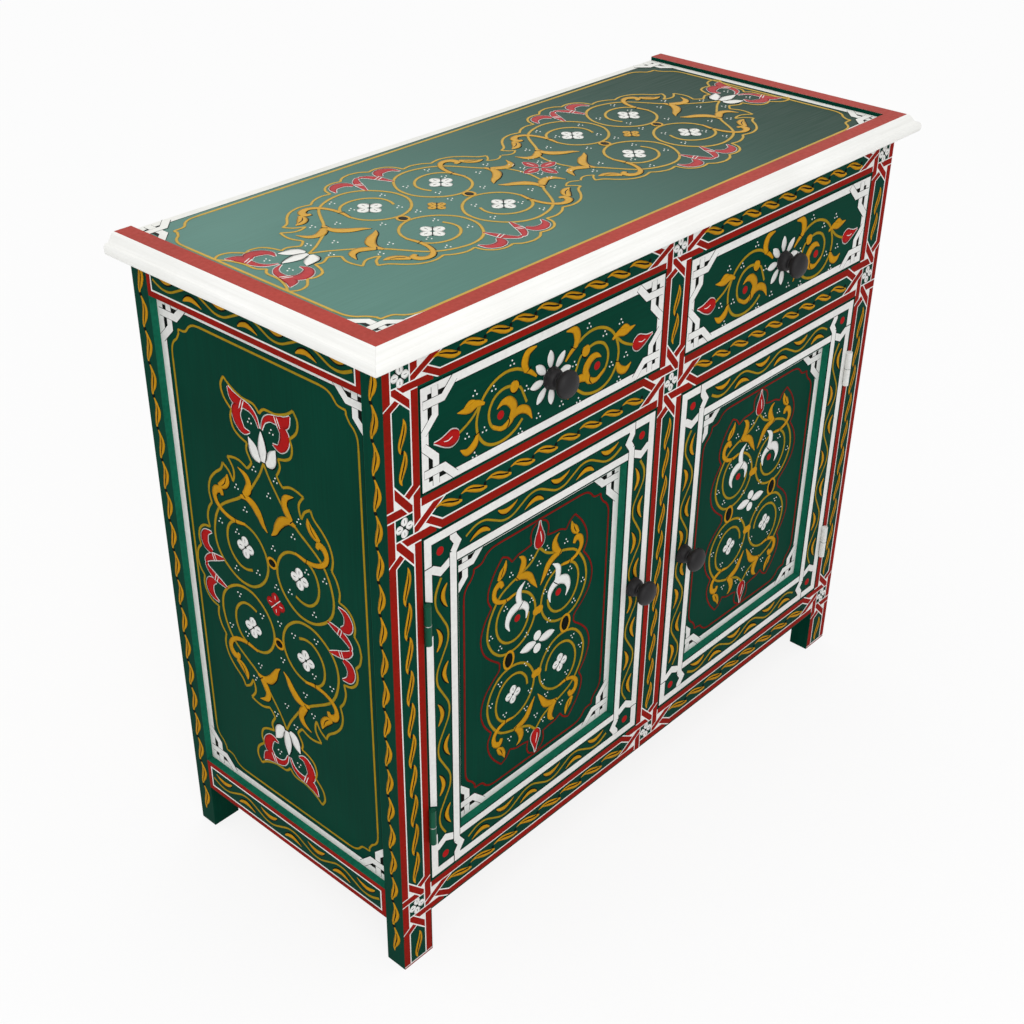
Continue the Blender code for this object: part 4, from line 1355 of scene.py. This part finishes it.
def door_frame_ornament(face, half_u, half_v, open_u, open_v, hinge_way):
    """Borders, kinked straps, corner dots and vines on a door's stiles and rails.

    hinge_way is the side to which the vine of the hinge stile swings first.
    """
    face.frame_fill("black", half_u, half_v, door_border + 0.9, 1)
    face.frame_fill("white", half_u, half_v, door_border, 2)
    strap_u = open_u + 7.8
    strap_v = open_v + 7.0
    border_u = half_u - door_border
    border_v = half_v - door_border
    zone_u = (border_u + strap_u + lattice_half) / 2
    zone_v = (border_v + strap_v + lattice_half) / 2
    kept = face.copies
    for flip in (1, -1):
        level = [(-strap_u + 5, flip * strap_v), (strap_u - 5, flip * strap_v)]
        face.line("black", level, lattice_half + 0.9, 1)
        face.line("white", level, lattice_half, 2)
        upright = [(flip * strap_u, -zone_v + 9), (flip * strap_u, zone_v - 9)]
        face.line("black", upright, lattice_half + 0.9, 3)
        face.line("white", upright, lattice_half, 4)
    for flip_u, flip_v in four_ways:
        face.copies = [after(place, motif_place(flip=(flip_u, flip_v))) for place in kept]
        kink = [(strap_u, zone_v - 10), (strap_u - 7.0, zone_v), (strap_u - 0.5, zone_v + 9.5)]
        cross = [
            (strap_u + 4, strap_v - 0.5), (zone_u + 0.5, strap_v - 7.8), (border_u - 1.5, strap_v - 0.4)
        ]
        face.line("black", kink + [(strap_u - 0.5, border_v - 0.5)], lattice_half + 0.9, 3)
        face.line("black", cross + [(border_u - 0.5, strap_v - 0.4)], lattice_half + 0.9, 1)
        if flip_u == flip_v:
            # Here the upright strap runs on over the border, and at the other corners the level one
            face.line("white", kink + [(strap_u - 0.5, half_v)], lattice_half, 4)
            face.line("white", cross + [(border_u + 1.0, strap_v - 0.4)], lattice_half, 2)
            edge = strap_u + lattice_half
            face.line("black", [(edge, border_v - 1.0), (edge, half_v)], 0.5, 5)
        else:
            face.line("white", kink + [(strap_u - 0.5, border_v - 0.9)], lattice_half, 4)
            face.line("white", cross + [(half_u, strap_v - 0.4)], lattice_half, 3)
            edge = strap_v + lattice_half
            face.line("black", [(border_u - 1.0, edge), (half_u, edge)], 0.5, 5)
        face.dots("bright red", [(zone_u + 0.6, zone_v)], 5.6, 3)
    face.copies = kept
    level_end = strap_u - 20.0
    upright_end = strap_v - 16.0
    for flip in (1, -1):
        moon = {"moon_middle": -3.3, "moon_end": -9.6}
        vine(face, -level_end, level_end, flip * zone_v, False, swing=8.0, half_wave=44.5, **moon)
        way = -1 if flip == 1 else hinge_way
        wave = {"swing": 9.8 * way, "half_wave": 48.0 if flip == 1 else 54.0}
        moon = {"moon_middle": -2.2 * way, "moon_end": -8.8 * way}
        vine(face, -upright_end, upright_end, flip * zone_u, True, **wave, **moon)


def door_quarter(face):
    """One quarter of a door's medallion: stem, ring and spiral, leaves and the red line round them."""
    stem = [
        (0, 136), (12, 123.5), (25, 117), (38, 113), (52, 108.5), (65, 102), (75, 91), (84, 75), (88, 57),
        (86, 42), (78, 27)
    ]
    ring = [
        (65, 15.5), (48, 11.5), (31, 14.5), (17, 24), (8, 38), (5, 53), (8.5, 68), (17.5, 81), (31, 89.5),
        (46, 91.5), (60, 87)
    ]
    ring += [(69.5, 76), (73, 60), (69, 43), (58, 30), (43, 25.5), (29, 30), (19.5, 42), (17, 54)]
    face.stem(stem + ring, 1.8)
    face.leaf([(38, 113, 1.8), (30, 119.5, 5.4), (27, 129, 4.8), (29.5, 136, 3), (35, 140, 0.5)])
    face.leaf([(40, 111, 2), (28, 110.5, 4.8), (17.5, 105, 5.2), (10.5, 94, 3.8), (3, 81.5, 0.5)])
    face.leaf(
        [
            (42, 91.5, 1.6), (56, 90, 2.4), (69, 94, 3), (76.5, 103, 3.6), (75, 114, 4.2),
            (67, 118.5, 4.4), (62.5, 112, 2.8)
        ]
    )
    face.leaf([(70, 124, 2.4), (64, 131, 5.6), (59, 138, 3.8), (57, 146, 0.5)])
    face.brush("black", [(66, 127, 0.3), (63, 132, 0.7), (61, 138, 0.3)], 6)
    face.brush("black", [(41, 115, 0.3), (36, 109, 0.7)], 6)
    face.brush("black", [(57, 93, 0.3), (55, 87, 0.7)], 6)
    outline = (
        [(4, 172), (12, 167), (15.5, 158), (14, 147)],
        [(14, 147), (25, 145), (36, 144), (47, 139)],
        [(47, 139), (54, 148), (63, 153)],
        [(63, 153), (76, 138), (85, 121), (87, 105), (81, 92)],
        [(81, 92), (93, 75), (99, 55), (95, 35), (84, 20), (70, 8)],
        [(70, 8), (67, 4), (67, 0)],
    )
    for run in outline:
        face.stem(run, 1.2, "thin red")
    sprinkle(face, [(14, 129), (48, 122), (0, 114), (57, 79), (19, 92), (82, 50), (20, 22)], 2.6, 1.0)
    sprinkle(face, [(66, 27), (12, 68)], 2.6, 1.0)


def white_comma(face):
    """The white crescent with a curled tail that sits in an upper ring, round a red berry."""
    face.brush(
        "white",
        [
            (50, 43, 0.6), (54.5, 54, 3.6), (50, 66, 6), (39, 71.5, 6.2), (27.5, 69, 5.4), (20, 60, 3.8),
            (21.5, 47, 0.6)
        ],
        5
    )
    face.brush("white", [(31, 71, 3.4), (35, 82, 5), (33.5, 93, 4), (24.5, 101, 0.5)], 5)
    face.brush("black", [(26, 75, 0.3), (31, 70, 0.7), (37, 65, 0.3)], 6)
    face.dots("bright red", [(36.5, 54.5)], 5.2, 4)


for hand, side in ((-1, "left"), (1, "right")):
    body = f"{side}_door"
    for part in ("lock_stile", "hinge_stile", "panel"):
        finish_board(f"{side}_door_{part}", green_upright)
    for part in ("top_rail", "bottom_rail"):
        finish_board(f"{side}_door_{part}", green_level)
    lock_low, lock_high = in_mm(f"{side}_door_lock_stile")
    hinge_low, hinge_high = in_mm(f"{side}_door_hinge_stile")
    rail_high = in_mm(f"{side}_door_bottom_rail")[1]
    crown_low = in_mm(f"{side}_door_top_rail")[0]
    board_low = in_mm(f"{side}_door_panel")[0]
    x_low = min(lock_low.x, hinge_low.x)
    x_high = max(lock_high.x, hinge_high.x)
    open_low = min(lock_high.x, hinge_high.x)
    open_high = max(lock_low.x, hinge_low.x)
    middle_x = (x_low + x_high) / 2
    middle_z = (lock_low.z + lock_high.z) / 2
    open_u = (open_high - open_low) / 2
    open_v = (crown_low.z - rail_high.z) / 2
    middle = (middle_x / 1000, lock_low.y / 1000, middle_z / 1000)
    face = PaintedFace(f"{side}_door_frame", body, middle, (1, 0, 0), (0, 0, 1))
    half_u = (x_high - x_low) / 2 - 0.6
    half_v = (lock_high.z - lock_low.z) / 2 - 0.6
    face.copies = [motif_place(flip=(-hand, 1))]
    door_frame_ornament(face, half_u, half_v, open_u, open_v, hand)
    face.copies = [motif_place()]
    if side == "left":
        # The green hinges of this door break its white border
        for row in ("lower", "upper"):
            foot = in_mm(f"{side}_{row}_hinge_frame_half")[0].z - middle_z - 2.0
            head = in_mm(f"{side}_{row}_hinge_door_half")[1].z - middle_z + 2.0
            edge = -half_u - 0.2
            inner = edge + 11.8
            face.fill("green", [(edge, foot), (inner, foot + 7), (inner, head - 7), (edge, head)], 5)
    face.dry()
    middle = (middle_x / 1000, board_low.y / 1000, middle_z / 1000)
    panel = PaintedFace(f"{side}_door_field", body, middle, (1, 0, 0), (0, 0, 1))
    panel.frame_fill("black", open_u, open_v, panel_border + 0.8, 1)
    panel.frame_fill("white", open_u, open_v, panel_border - 0.3, 2)
    corner_knots(panel, open_u, open_v, panel_border)
    notched_line(panel, "thin red", open_u, open_v, panel_border, 1.25)
    panel.copies = [motif_place(flip=flip) for flip in four_ways]
    door_quarter(panel)
    panel.copies = [motif_place(flip=(flip, 1)) for flip in (1, -1)]
    white_comma(panel)
    panel.brush("gold", oval((51, 1), 8.4, 12.2, 1.7), 4, closed=True)
    panel.brush("black", [(51, -9, 2), (51, 1, 6.4), (51, 11, 2)], 3)
    panel.brush("white", lens((3, 1), (31, 1), 6.6), 4)
    panel.copies = [motif_place(flip=(1, flip)) for flip in (1, -1)]
    bud = [
        (0, 135.5, 2.4), (0, 138, 6.0), (0, 143, 8.2), (0, 149, 8.2), (0, 155, 6.2), (0, 161, 3.8),
        (0, 166, 2.0), (0, 173, 0.4)
    ]
    panel.edged("bright red", bud, 5, rim=1.4)
    panel.brush("white", [(3.2, 143, 0.3), (2.4, 150, 0.6), (0.6, 158, 0.3)], 7)
    panel.dots("white", [(0, 9.5)], 7.0, 5)
    panel.dots("gold", [(-3, 47), (3, 47)], 6.2, 5)
    for flip in (1, -1):
        panel.copies = [motif_place((flip * 43, -55))]
        flower(panel, "white", 7.4, 6.0, 5, slope=1)
    panel.copies = [motif_place()]
    panel.dry()
    recess_low = (open_low, lock_low.y, rail_high.z)
    recess_high = (open_high, board_low.y, crown_low.z)
    inner_reveals(f"{side}_door", body, recess_low, recess_high, sides)


# Knobs: bun-shaped pulls of blackened cast iron, turned in one with their neck and a domed rose, which
# has a ring of beads cast round its rim. A dowel holds each one in the wood.
def blackened_iron():
    """Cast iron with a black finish: nearly black and matt, with a sand texture of about a millimetre."""
    material, tree, shader, place = new_material("blackened_cast_iron")
    grit = add_node(
        tree, "ShaderNodeTexNoise", {"Vector": place, "Scale": 1000 / 0.9, "Detail": 3.0}
    ).outputs["Fac"]
    worn = add_node(
        tree, "ShaderNodeTexNoise", {"Vector": place, "Scale": 1000 / 9.0, "Detail": 2.0}
    ).outputs["Fac"]
    colour = add_node(
        tree, "ShaderNodeMix", {0: worn, 6: linear("#151415"), 7: linear("#252325")}, data_type="RGBA"
    )
    relief = add_node(tree, "ShaderNodeBump", {"Height": grit, "Strength": 0.4, "Distance": 0.0003})
    tree.links.new(colour.outputs[2], shader.inputs["Base Color"])
    tree.links.new(relief.outputs[0], shader.inputs["Normal"])
    shader.inputs["Roughness"].default_value = 0.55
    shader.inputs["Specular IOR Level"].default_value = 0.3
    return material


def bead_tree():
    """Geometry nodes that set a ring of beads round an axis along Y."""
    wanted = (
        ("Finish", "Material"), ("Middle", "Vector"), ("Ring", "Float"), ("Bead", "Float"),
        ("Count", "Int")
    )
    tree = geometry_tree("bead_ring", "Body", wanted, "Beaded")
    given = add_node(tree, "NodeGroupInput").outputs
    ring = {"Vertices": given["Count"], "Radius": given["Ring"]}
    ring = add_node(tree, "GeometryNodeMeshCircle", ring).outputs[0]
    stood = {"Geometry": ring, "Translation": given["Middle"], "Rotation": (math.pi / 2, 0.0, 0.0)}
    ring = add_node(tree, "GeometryNodeTransform", stood).outputs[0]
    bead = {"Segments": 10, "Rings": 6, "Radius": given["Bead"]}
    bead = add_node(tree, "GeometryNodeMeshUVSphere", bead).outputs["Mesh"]
    beads = add_node(tree, "GeometryNodeInstanceOnPoints", {"Points": ring, "Instance": bead}).outputs[0]
    beads = add_node(tree, "GeometryNodeRealizeInstances", {"Geometry": beads}).outputs[0]
    whole = add_node(tree, "GeometryNodeJoinGeometry")
    tree.links.new(given["Body"], whole.inputs[0])
    tree.links.new(beads, whole.inputs[0])
    whole = {"Geometry": whole.outputs[0], "Material": given["Finish"]}
    whole = add_node(tree, "GeometryNodeSetMaterial", whole).outputs[0]
    add_node(tree, "NodeGroupOutput", {"Beaded": whole})
    return tree


def turned(name, outline, axis, sides):
    """A closed body turned round a line along Y. Its outline (radius, y) starts and ends on the line."""
    mesh = bpy.data.meshes.new(name)
    made = bmesh.new()
    rings = []
    for radius, level in outline[1:-1]:
        ring = []
        for step in range(sides):
            angle = math.tau * step / sides
            ring.append(
                made.verts.new(
                    (axis[0] + radius * math.cos(angle), level, axis[1] + radius * math.sin(angle))
                )
            )
        rings.append(ring)
    ends = [made.verts.new((axis[0], level, axis[1])) for level in (outline[0][1], outline[-1][1])]
    for step in range(sides):
        ahead = (step + 1) % sides
        made.faces.new((ends[0], rings[0][step], rings[0][ahead]))
        for near, far in zip(rings, rings[1:]):
            made.faces.new((near[step], far[step], far[ahead], near[ahead]))
        made.faces.new((ends[1], rings[-1][ahead], rings[-1][step]))
    for face in made.faces:
        face.smooth = True
    bmesh.ops.recalc_face_normals(made, faces=made.faces)
    made.to_mesh(mesh)
    made.free()
    return mesh


black_iron = blackened_iron()
beads_round_rim = bead_tree()
bun_depth = 0.0185
rose_radius = 0.0125
rose_height = 0.0120
rim_height = 0.0030
neck_radius = 0.0072
dowel_radius = 0.0040
dowel_length = 0.0100
bead_ring = rose_radius - 0.0004
bead_radius = 0.0014
bead_count = 30
rose_gap = 0.0003
for side in sides:
    for part in ("drawer", "door"):
        name = f"{side}_{part}_knob"
        low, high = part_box(name)
        wood = high[1] - dowel_length
        bun_radius = (high[0] - low[0]) / 2
        axis = ((low[0] + high[0]) / 2, (low[2] + high[2]) / 2)
        neck_angle = math.pi - math.asin(neck_radius / bun_radius)
        outline = [(0.0, low[1])]
        for step in range(1, 21):
            angle = neck_angle * step / 20
            outline.append((bun_radius * math.sin(angle), low[1] + bun_depth / 2 * (1 - math.cos(angle))))
        for step in range(9):
            angle = math.pi / 2 * step / 8
            out = neck_radius + (rose_radius - neck_radius) * math.sin(angle)
            outline.append((out, wood - rim_height - (rose_height - rim_height) * math.cos(angle)))
        outline += [(rose_radius, wood - rose_gap), (dowel_radius, wood - rose_gap)]
        outline += [(dowel_radius, high[1]), (0.0, high[1])]
        mesh = turned(f"{side}_{part}_pull", outline, axis, 56)
        host = bpy.data.objects.new(mesh.name, mesh)
        scene.collection.objects.link(host)
        middle = (axis[0], wood - rim_height * 0.6, axis[1])
        sizes = {
            "Finish": black_iron, "Middle": middle, "Ring": bead_ring, "Bead": bead_radius,
            "Count": bead_count
        }
        host.data = made_plain(host, beads_round_rim, sizes)
        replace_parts(host, name)
        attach(host, f"{side}_{part}")


# Hinges: steel barrels on let-in leaves, brushed over by whoever painted the frame around them, with
# a steel washer between the halves, worn bright where they turn on each other.
# The left pair came out green, glossier than the wood, and the right pair white like the border.
barrel_radius = 0.0042
washer_half = 0.0006
washer_lip = 0.0003
# Green brushed over steel, smoother, glossier and a little lighter than on the wood
hinge_green = oil_paint("green_painted_steel", "#084632", "#0b543c", 0.34, 2, 3.0, 40.0, 60.0, 0.08, 0.12)
# Steel rubbed bright, with fine scratches round the pin
bare_steel, tree, shader, place = new_material("rubbed_steel")
rubbed = add_node(
    tree, "ShaderNodeTexNoise", {"Vector": place, "Scale": 1000 / 1.5, "Detail": 2.0}
).outputs["Fac"]
colour = add_node(
    tree, "ShaderNodeMix", {0: rubbed, 6: linear("#8c918c"), 7: linear("#c9ccc8")}, data_type="RGBA"
)
tree.links.new(colour.outputs[2], shader.inputs["Base Color"])
shader.inputs["Metallic"].default_value = 1.0
shader.inputs["Roughness"].default_value = 0.35
for side in sides:
    for row in ("lower", "upper"):
        for part in ("frame_half", "door_half"):
            finish_board(
                f"{side}_{row}_hinge_{part}", hinge_green if side == "left" else paints["white"][0]
            )
        low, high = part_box(f"{side}_{row}_hinge_door_half")
        pin = Vector(((low[0] + high[0]) / 2, low[1] + barrel_radius, low[2]))
        out = barrel_radius + washer_lip
        outline = [(0.0, -washer_half), (out - washer_lip, -washer_half), (out, -washer_half / 2)]
        outline += [(radius, -level) for radius, level in reversed(outline)]
        mesh = turned(f"{side}_{row}_hinge_washer", outline, (0.0, 0.0), 24)
        mesh.transform(Matrix.Translation(pin) @ Matrix.Rotation(math.pi / 2, 4, "X"))
        mesh.materials.append(bare_steel)
        set_piece(mesh.name, mesh, "carcass", f"{'green' if side == 'left' else 'white'}_hinge")


# Studio: pale floor, soft light from above and behind the camera, and the photograph's viewpoint.
def studio_floor():
    """A wide pale floor that takes the shadow."""
    mesh = bpy.data.meshes.new("studio_floor")
    made = bmesh.new()
    floor_half = 30.0
    bmesh.ops.create_grid(made, x_segments=1, y_segments=1, size=floor_half)
    made.to_mesh(mesh)
    made.free()
    floor = bpy.data.objects.new("studio_floor", mesh)
    scene.collection.objects.link(floor)
    # A matt white floor that shows clean white to the eye and in reflections, and still takes the shadow
    material = bpy.data.materials.new("matt_white_floor")
    material.use_nodes = True
    tree = material.node_tree
    shader = tree.nodes["Principled BSDF"]
    shader.inputs["Base Color"].default_value = linear("#f8f8f8")
    shader.inputs["Roughness"].default_value = 0.9
    shader.inputs["Specular IOR Level"].default_value = 0.0
    seen = add_node(tree, "ShaderNodeLightPath").outputs
    any_of = seen["Is Camera Ray"]
    for ray in ("Is Glossy Ray", "Is Transmission Ray"):
        any_of = add_node(
            tree, "ShaderNodeMath", {0: any_of, 1: seen[ray]}, operation="MAXIMUM"
        ).outputs[0]
    clean_share = 0.84
    share = add_node(tree, "ShaderNodeMath", {0: any_of, 1: clean_share}, operation="MULTIPLY").outputs[0]
    clean = add_node(tree, "ShaderNodeEmission", {"Color": linear("#ffffff"), "Strength": 1.0}).outputs[0]
    both = add_node(tree, "ShaderNodeMixShader", {0: share, 1: shader.outputs[0], 2: clean}).outputs[0]
    tree.links.new(both, tree.nodes["Material Output"].inputs["Surface"])
    mesh.materials.append(material)


studio_floor()
# White room light, stronger from the ceiling than from the walls
world = bpy.data.worlds.new("studio_world")
world.use_nodes = True
room = world.node_tree
way = add_node(room, "ShaderNodeTexCoord").outputs["Generated"]
height = add_node(room, "ShaderNodeSeparateXYZ", {0: way}).outputs["Z"]
wall_light = 0.36
ceiling_light = 1.12
glow = {"Value": height, "From Min": 0.0, "From Max": 1.0, "To Min": wall_light, "To Max": ceiling_light}
glow = add_node(room, "ShaderNodeMapRange", glow).outputs[0]
room.nodes["Background"].inputs["Color"].default_value = linear("#ffffff")
seen = add_node(room, "ShaderNodeLightPath").outputs["Is Camera Ray"]
glow = add_node(room, "ShaderNodeMix", {0: seen, 2: glow, 3: 1.0}).outputs[0]
room.links.new(glow, room.nodes["Background"].inputs["Strength"])
scene.world = world


def soft_box(name, place, target, width, power):
    """A square area lamp turned to a point."""
    lamp = bpy.data.lights.new(name, "AREA")
    lamp.size = width
    lamp.energy = power
    holder = bpy.data.objects.new(name, lamp)
    scene.collection.objects.link(holder)
    holder.location = place
    holder.rotation_euler = (Vector(target) - Vector(place)).to_track_quat("-Z", "Y").to_euler()


key_place = (-1.9, -2.2, 2.3)
key_target = (0.0, 0.0, 0.45)
key_width = 1.4
key_watts = 30.0
soft_box("key_light", key_place, key_target, key_width, key_watts)

# Viewpoint of the photograph: above the left front corner, looking down
camera_place = Vector((-1.3391, -1.1397, 1.4733))
camera_yaw = math.radians(47.934)
camera_dip = math.radians(32.154)
camera_roll = math.radians(0.645)
level_ahead = Vector((math.sin(camera_yaw), math.cos(camera_yaw), 0.0))
level_right = Vector((math.cos(camera_yaw), -math.sin(camera_yaw), 0.0))
ahead = level_ahead * math.cos(camera_dip) - Vector((0, 0, 1)) * math.sin(camera_dip)
above = level_ahead * math.sin(camera_dip) + Vector((0, 0, 1)) * math.cos(camera_dip)
right = level_right * math.cos(camera_roll) + above * math.sin(camera_roll)
above = above * math.cos(camera_roll) - level_right * math.sin(camera_roll)
lens_data = bpy.data.cameras.new("photo_view")
lens_data.lens = 53.84
lens_data.sensor_width = 36.0
viewer = bpy.data.objects.new("photo_view", lens_data)
scene.collection.objects.link(viewer)
turn = Matrix((right, above, -ahead)).transposed().to_4x4()
turn.translation = camera_place
viewer.matrix_world = turn
scene.camera = viewer
scene.view_settings.view_transform = "Standard"
